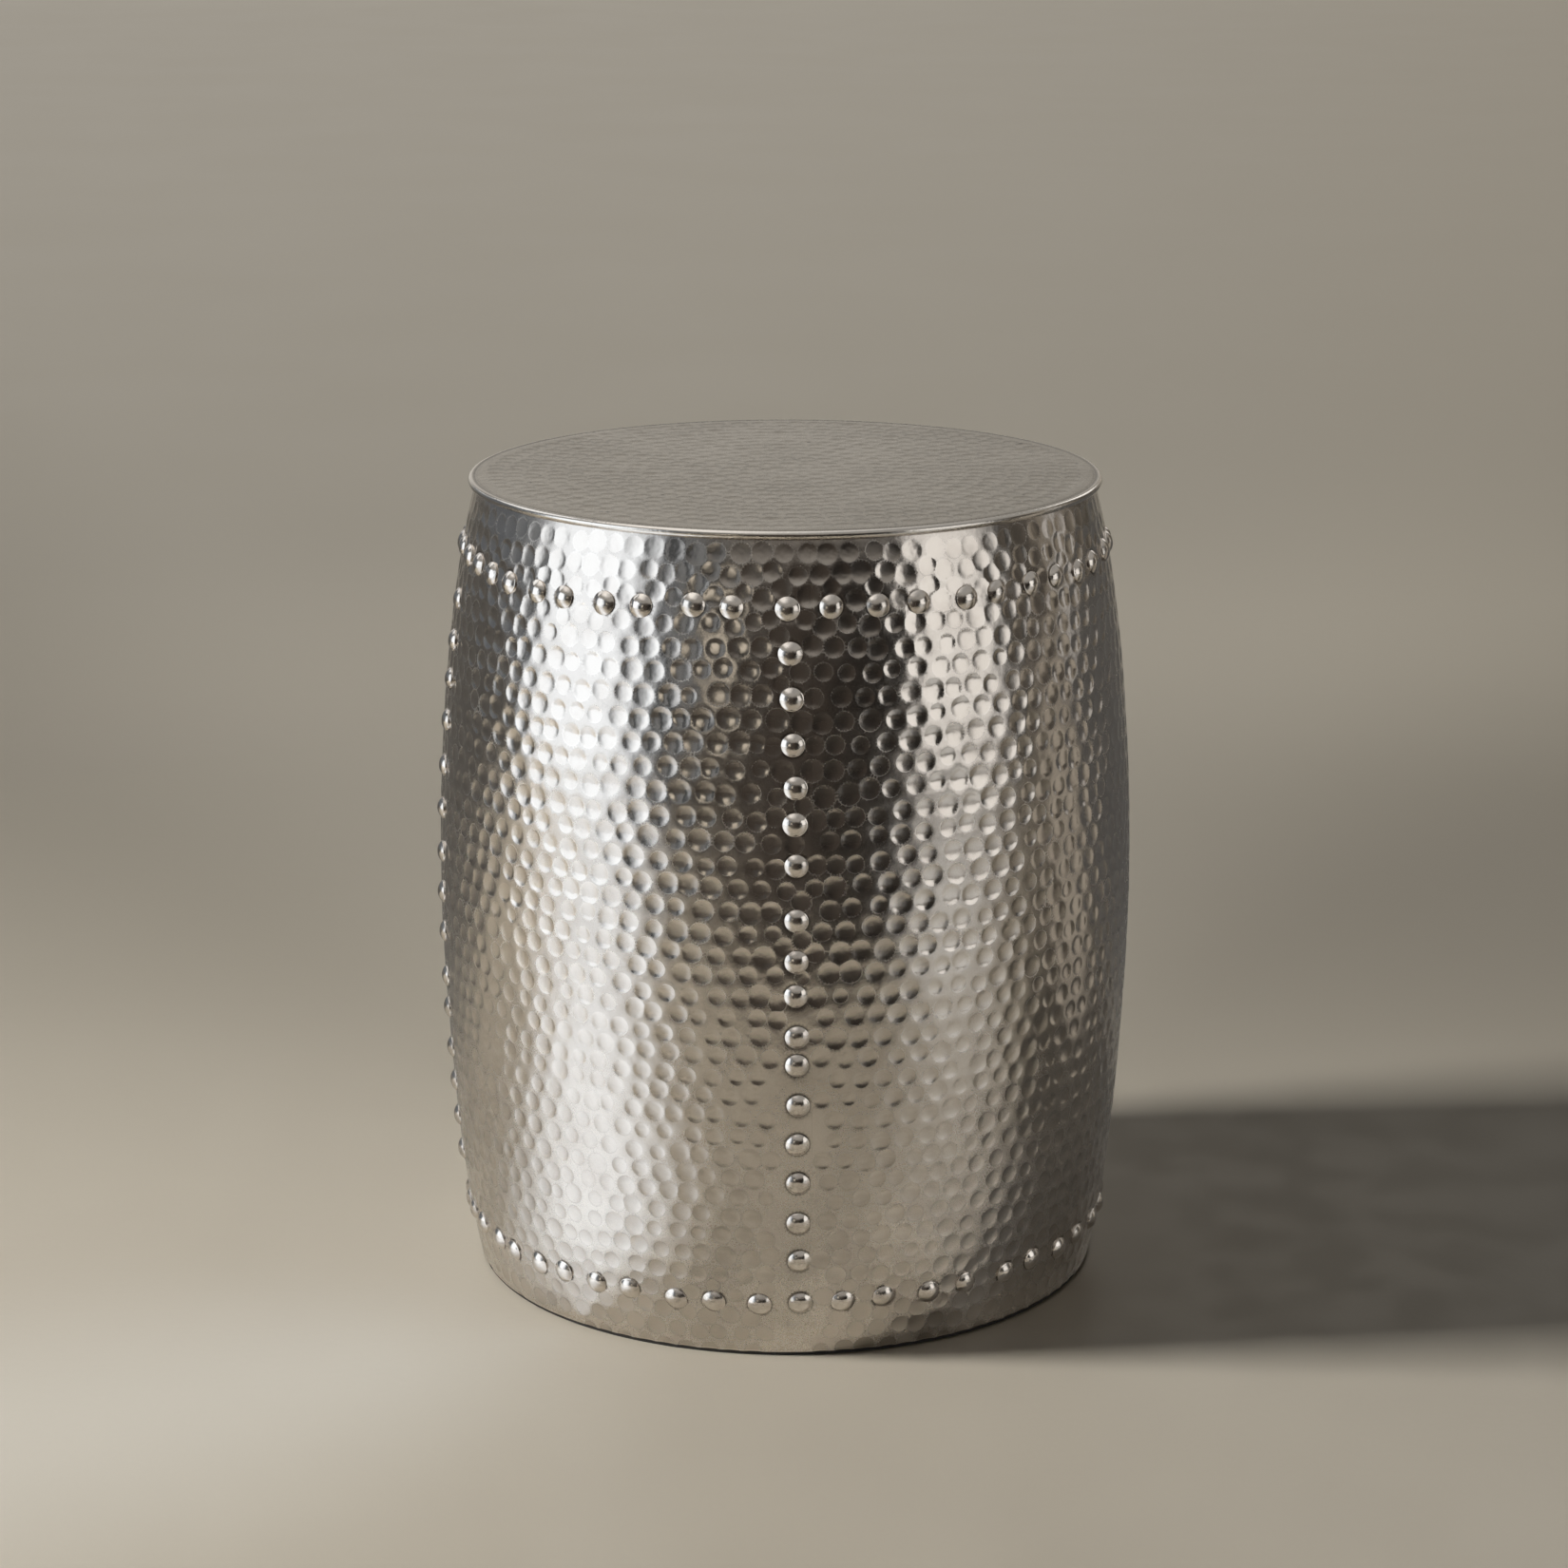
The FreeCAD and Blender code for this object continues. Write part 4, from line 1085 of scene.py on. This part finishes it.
def world_light():
    world = bpy.data.worlds.new("room")
    bpy.context.scene.world = world
    world.use_nodes = True
    t = Tree(world.node_tree)
    ray = t.add("ShaderNodeTexCoord").outputs["Generated"]
    parts = t.add("ShaderNodeSeparateXYZ", {0: ray})
    x, y, z = parts.outputs
    az = t.math("ARCTAN2", x, t.math("MULTIPLY", y, -1.0))
    turn = t.math("MULTIPLY_ADD", az, 1.0 / (2.0 * math.pi), 0.5)
    ramp = t.add("ShaderNodeValToRGB", {0: turn})
    beige = (0.40, 0.37, 0.325)
    stops = [(-180, (0.49, 0.465, 0.425)), (-168, (0.53, 0.505, 0.465)), (-158, (0.45, 0.43, 0.40)), (-147, (0.20, 0.21, 0.22)),
             (-134, (0.15, 0.163, 0.18)), (-116, (0.15, 0.165, 0.185)), (-105, (0.22, 0.24, 0.26)),
             (-98, (0.45, 0.47, 0.5)), (-40, (0.55, 0.56, 0.56)), (-37, (0.28, 0.293, 0.305)),
             (-31, (0.16, 0.168, 0.178)), (-23, (0.098, 0.098, 0.098)), (-12, (0.078, 0.072, 0.067)),
             (-5, (0.062, 0.053, 0.045)), (7, (0.056, 0.046, 0.038)), (20, (0.026, 0.022, 0.019)),
             (33, (0.020, 0.018, 0.016)), (42, (0.026, 0.024, 0.022)), (43, (0.22, 0.21, 0.20)),
             (80, (0.20, 0.19, 0.18)), (86, (0.13, 0.115, 0.096)), (92, (0.075, 0.067, 0.058)),
             (99, (0.075, 0.067, 0.058)), (105, (0.31, 0.274, 0.222)), (117, (0.31, 0.274, 0.222)),
             (127, (0.13, 0.115, 0.095)), (135, (0.078, 0.069, 0.057)), (148, (0.125, 0.110, 0.090)),
             (160, (0.33, 0.297, 0.252)), (168, (0.30, 0.274, 0.236)), (176, (0.44, 0.418, 0.382)), (180, (0.49, 0.465, 0.425))]
    band = ramp.color_ramp
    band.interpolation = "LINEAR"
    while len(band.elements) > 1:
        band.elements.remove(band.elements[-1])
    for i, (deg, rgb) in enumerate(stops):
        pos = deg / 360.0 + 0.5
        element = band.elements[0] if i == 0 else band.elements.new(pos)
        element.position = pos
        element.color = rgb + (1.0,)
    el = t.math("ARCSINE", z)
    behind = t.span(t.math("ABSOLUTE", az), math.radians(148.0), math.radians(166.0), 0.0, 1.0)
    fall = t.math("MULTIPLY_ADD", t.span(el, math.radians(4.0), math.radians(30.0), 0.30, -0.32, False),
                  behind, 1.0)
    tint = t.add("ShaderNodeVectorMath", {0: ramp.outputs[0]}, operation="SCALE")
    t.tree.links.new(fall, tint.inputs["Scale"])
    # In front the grey above comes lower, so that hollows in the dark middle still show.
    ahead = t.math("MULTIPLY", t.span(az, math.radians(-30.0), math.radians(-16.0), 0.0, 1.0),
                   t.span(az, math.radians(38.0), math.radians(44.0), 1.0, 0.0))
    soon = t.math("MULTIPLY", ahead, t.span(el, math.radians(12.0), math.radians(25.0), 0.0, 0.8))
    colour = t.mix(soon, tint.outputs[0], (0.33, 0.31, 0.285, 1.0))
    up = t.span(el, math.radians(19.0), math.radians(36.0), 0.0, 1.0)
    colour = t.mix(up, colour, (0.37, 0.36, 0.34, 1.0))
    high = t.span(el, math.radians(38.0), math.radians(60.0), 0.0, 1.0)
    over = t.mix(t.span(t.math("MULTIPLY_ADD", y, -0.35, x), -0.42, 0.46, 0.0, 1.0),
                 (1.24, 1.22, 1.19, 1.0), (0.36, 0.355, 0.345, 1.0))
    colour = t.mix(high, colour, over)
    path = t.add("ShaderNodeLightPath").outputs
    colour = t.mix(path["Is Diffuse Ray"], colour, (0.025, 0.0218, 0.0160, 1.0))
    colour = t.mix(path["Is Camera Ray"], colour, (0.30, 0.285, 0.255, 1.0))
    back = t.add("ShaderNodeBackground", {"Color": colour, "Strength": 1.0})
    out = t.add("ShaderNodeOutputWorld")
    t.tree.links.new(back.outputs[0], out.inputs[0])


world_light()


def area(name, place_at, aim, size_x, size_y, watts, colour, spread, glossy=True):
    light = bpy.data.lights.new(name, "AREA")
    light.shape = "RECTANGLE"
    light.size, light.size_y = size_x, size_y
    light.energy = watts
    light.color = colour
    light.spread = math.radians(spread)
    obj = bpy.data.objects.new(name, light)
    obj.location = place_at
    obj.rotation_euler = (Vector(aim) - Vector(place_at)).to_track_quat("-Z", "Y").to_euler()
    obj.visible_camera = False
    obj.visible_glossy = glossy
    bpy.context.scene.collection.objects.link(obj)
    return obj


# Key light from the left for the floor, and an even one for the floor far behind;
# the metal sees neither.
area("key", (-3.98, -0.42, 1.75), (0.0, -0.35, 0.0), 0.85, 1.0, 33.0, (1.0, 0.975, 0.93), 60.0,
     glossy=False)
area("far_floor", (0.0, 8.6, 1.6), (0.0, 8.6, 0.0), 14.0, 14.8, 232.0, (1.0, 0.975, 0.93), 52.0,
     glossy=False)

# Cards lying on the floor, which only reflections see: a dark one far in front,
# and a fan of window light to the left.
def floor_card(name, corners, build):
    card = quad(name, corners)
    mat, t = new_material(name)
    out = t.add("ShaderNodeOutputMaterial")
    t.tree.links.new(build(t), out.inputs[0])
    card.data.materials.append(mat)
    card.visible_camera = False
    card.visible_diffuse = False
    card.visible_shadow = False
    return card


def dark_front(t):
    parts = t.add("ShaderNodeSeparateXYZ", {0: t.add("ShaderNodeTexCoord").outputs["Object"]})
    x, y = parts.outputs[0], parts.outputs[1]
    hide = t.span(y, -1.02, -0.62, 1.0, 0.0)
    az = t.math("ARCTAN2", x, t.math("MULTIPLY", y, -1.0))
    side = t.math("MULTIPLY", t.span(az, math.radians(28.0), math.radians(46.0), 1.0, 0.0),
                  t.span(az, math.radians(-38.0), math.radians(-1.0), 0.12, 1.0))
    side = t.math("MULTIPLY", side, t.span(az, math.radians(-52.0), math.radians(-36.0), 0.0, 1.0))
    clear = t.add("ShaderNodeBsdfTransparent")
    tone = t.mix(t.span(az, math.radians(2.0), math.radians(16.0), 0.0, 1.0),
                 (0.06, 0.05, 0.042, 1.0), (0.031, 0.027, 0.023, 1.0))
    dark = t.add("ShaderNodeEmission", {"Color": tone, "Strength": 1.0})
    mixed = t.add("ShaderNodeMixShader", {0: t.math("MULTIPLY", hide, side)})
    t.tree.links.new(clear.outputs[0], mixed.inputs[1])
    t.tree.links.new(dark.outputs[0], mixed.inputs[2])
    return mixed.outputs[0]


def dark_back(t):
    parts = t.add("ShaderNodeSeparateXYZ", {0: t.add("ShaderNodeTexCoord").outputs["Object"]})
    x, y = parts.outputs[0], parts.outputs[1]
    turn = t.math("ARCTAN2", x, t.math("MULTIPLY", y, -1.0))
    az = t.math("ABSOLUTE", turn)
    left = t.span(turn, math.radians(-112.0), math.radians(-98.0), 0.7, 0.0)
    right = t.span(turn, math.radians(104.0), math.radians(113.0), 0.0, 0.85)
    hide = t.math("MULTIPLY", t.math("MAXIMUM", left, right),
                  t.span(az, math.radians(146.0), math.radians(164.0), 1.0, 0.0))
    hide = t.math("MULTIPLY", hide, t.span(y, 0.06, 0.5, 0.0, 1.0))
    clear = t.add("ShaderNodeBsdfTransparent")
    pale = t.math("MULTIPLY", t.span(turn, math.radians(88.0), math.radians(93.0), 0.0, 1.0),
                  t.span(turn, math.radians(101.0), math.radians(111.0), 1.0, 0.0))
    pale = t.math("MULTIPLY", pale, t.span(x, 0.42, 0.66, 0.0, 1.0))
    hide = t.math("MAXIMUM", hide, t.math("MULTIPLY", pale, 0.9))
    tone = t.mix(pale, (0.085, 0.085, 0.085, 1.0), (0.41, 0.372, 0.315, 1.0))
    dark = t.add("ShaderNodeEmission", {"Color": tone, "Strength": 1.0})
    mixed = t.add("ShaderNodeMixShader", {0: hide})
    t.tree.links.new(clear.outputs[0], mixed.inputs[1])
    t.tree.links.new(dark.outputs[0], mixed.inputs[2])
    return mixed.outputs[0]


def light_fan(t):
    """Two soft beams lying on the floor, one from each window, that end under the drum."""
    parts = t.add("ShaderNodeSeparateXYZ", {0: t.add("ShaderNodeTexCoord").outputs["Object"]})
    x, y = parts.outputs[0], parts.outputs[1]
    total = 0.0
    flat = t.add("ShaderNodeTexCoord").outputs["Object"]
    mark = t.add("ShaderNodeTexNoise", {"Vector": flat, "Scale": 24.0, "Detail": 2.5}).outputs[0]
    away = t.math("POWER", t.math("ADD", t.math("MULTIPLY", x, x), t.math("MULTIPLY", y, y)), 0.5)
    close_by = t.math("MULTIPLY", t.span(away, 0.19, 0.28, 0.3, 1.0), t.span(away, 0.30, 0.75, 1.0, 0.0))
    shade = t.math("SUBTRACT", 1.0, t.math("MULTIPLY", close_by, t.span(mark, 0.38, 0.62, 0.30, 0.0)))
    clear = shade
    for ax, ay, mid, half, near, far, power, cover in (
            (-0.12, -0.14, -64.0, 35.0, 1.36, 1.16, 1.0, 0.85),
            (0.11, -0.15, 52.0, 30.0, 0.18, 1.0, 0.33, 0.0)):
        u, v = t.math("SUBTRACT", x, ax), t.math("SUBTRACT", y, ay)
        az = t.math("ARCTAN2", u, t.math("MULTIPLY", v, -1.0))
        off = t.math("ABSOLUTE", t.math("SUBTRACT", az, math.radians(mid)))
        reach = t.math("POWER", t.math("ADD", t.math("MULTIPLY", u, u), t.math("MULTIPLY", v, v)), 0.5)
        off = t.math("MULTIPLY", off, t.span(reach, 0.03, 0.60, 0.40, 1.0))
        beam = t.span(off, 0.0, math.radians(half), 1.0, 0.0)
        beam = t.math("MULTIPLY", beam, t.span(reach, 0.0, 0.13, 0.45, 1.0))
        beam = t.math("MULTIPLY", beam, t.span(reach, 1.7, 2.1, 1.0, 0.0))
        if cover > 0.0:
            clear = t.math("MULTIPLY", shade, t.math("SUBTRACT", 1.0, t.math("MULTIPLY", beam, cover)))
        beam = t.math("MULTIPLY", beam, t.span(reach, 0.05, 1.1, near * power, far * power))
        total = t.math("ADD", beam, total)
    total = t.math("MULTIPLY_ADD", close_by, 0.02, total)
    through = t.add("ShaderNodeCombineColor", {0: clear, 1: clear, 2: clear})
    clear = t.add("ShaderNodeBsdfTransparent", {"Color": through.outputs[0]})
    light = t.add("ShaderNodeEmission", {"Color": (0.93, 0.99, 1.06, 1.0), "Strength": total})
    both = t.add("ShaderNodeAddShader")
    t.tree.links.new(clear.outputs[0], both.inputs[0])
    t.tree.links.new(light.outputs[0], both.inputs[1])
    # Uneven glow from the card, seen only in reflections: a painted floor reflection in the metal.
    co = t.add("ShaderNodeTexCoord").outputs["Object"]
    patch = t.add("ShaderNodeTexNoise", {"Vector": co, "Scale": 9.0, "Detail": 4.0,
                                         "Roughness": 0.62}).outputs[0]
    mid = t.math("ABSOLUTE", t.math("ARCTAN2", x, t.math("MULTIPLY", y, -1.0)))
    patch = t.math("MULTIPLY", t.span(patch, 0.36, 0.64, -0.03, 0.10), t.span(y, -0.85, -0.55, 0.25, 1.0))
    patch = t.math("MULTIPLY", patch, t.span(mid, math.radians(18.0), math.radians(52.0), 1.0, 0.25))
    mottled_glow = t.add("ShaderNodeEmission", {"Color": (1.0, 0.93, 0.80, 1.0), "Strength": patch})
    three = t.add("ShaderNodeAddShader")
    t.tree.links.new(both.outputs[0], three.inputs[0])
    t.tree.links.new(mottled_glow.outputs[0], three.inputs[1])
    return three.outputs[0]


floor_card("dark_card", [(-3.4, -5.8, 0.002), (3.4, -5.8, 0.002), (3.4, -0.6, 0.002), (-3.4, -0.6, 0.002)],
           dark_front)
floor_card("dark_card_back", [(-7.0, -0.25, 0.002), (7.0, -0.25, 0.002), (7.0, 8.0, 0.002), (-7.0, 8.0, 0.002)],
           dark_back)
floor_card("light_card", [(-2.3, -2.1, 0.003), (2.3, -2.1, 0.003), (2.3, 0.6, 0.003), (-2.3, 0.6, 0.003)],
           light_fan)

# ---------------------------------------------------------------------- camera
camera = bpy.data.cameras.new("camera")
camera.sensor_width = 36.0
camera.lens = 88.22
camera.clip_end = 100.0
view = bpy.data.objects.new("camera", camera)
view.location = (-0.00065, -2.126, 0.8391)
view.rotation_euler = (math.radians(75.1544), 0.0, 0.0)
bpy.context.scene.collection.objects.link(view)
bpy.context.scene.camera = view

bpy.context.scene.view_settings.view_transform = "Standard"
bpy.context.scene.view_settings.look = "None"
bpy.context.scene.view_settings.exposure = 0.0
bpy.context.scene.view_settings.gamma = 1.0

bpy.context.view_layer.update()
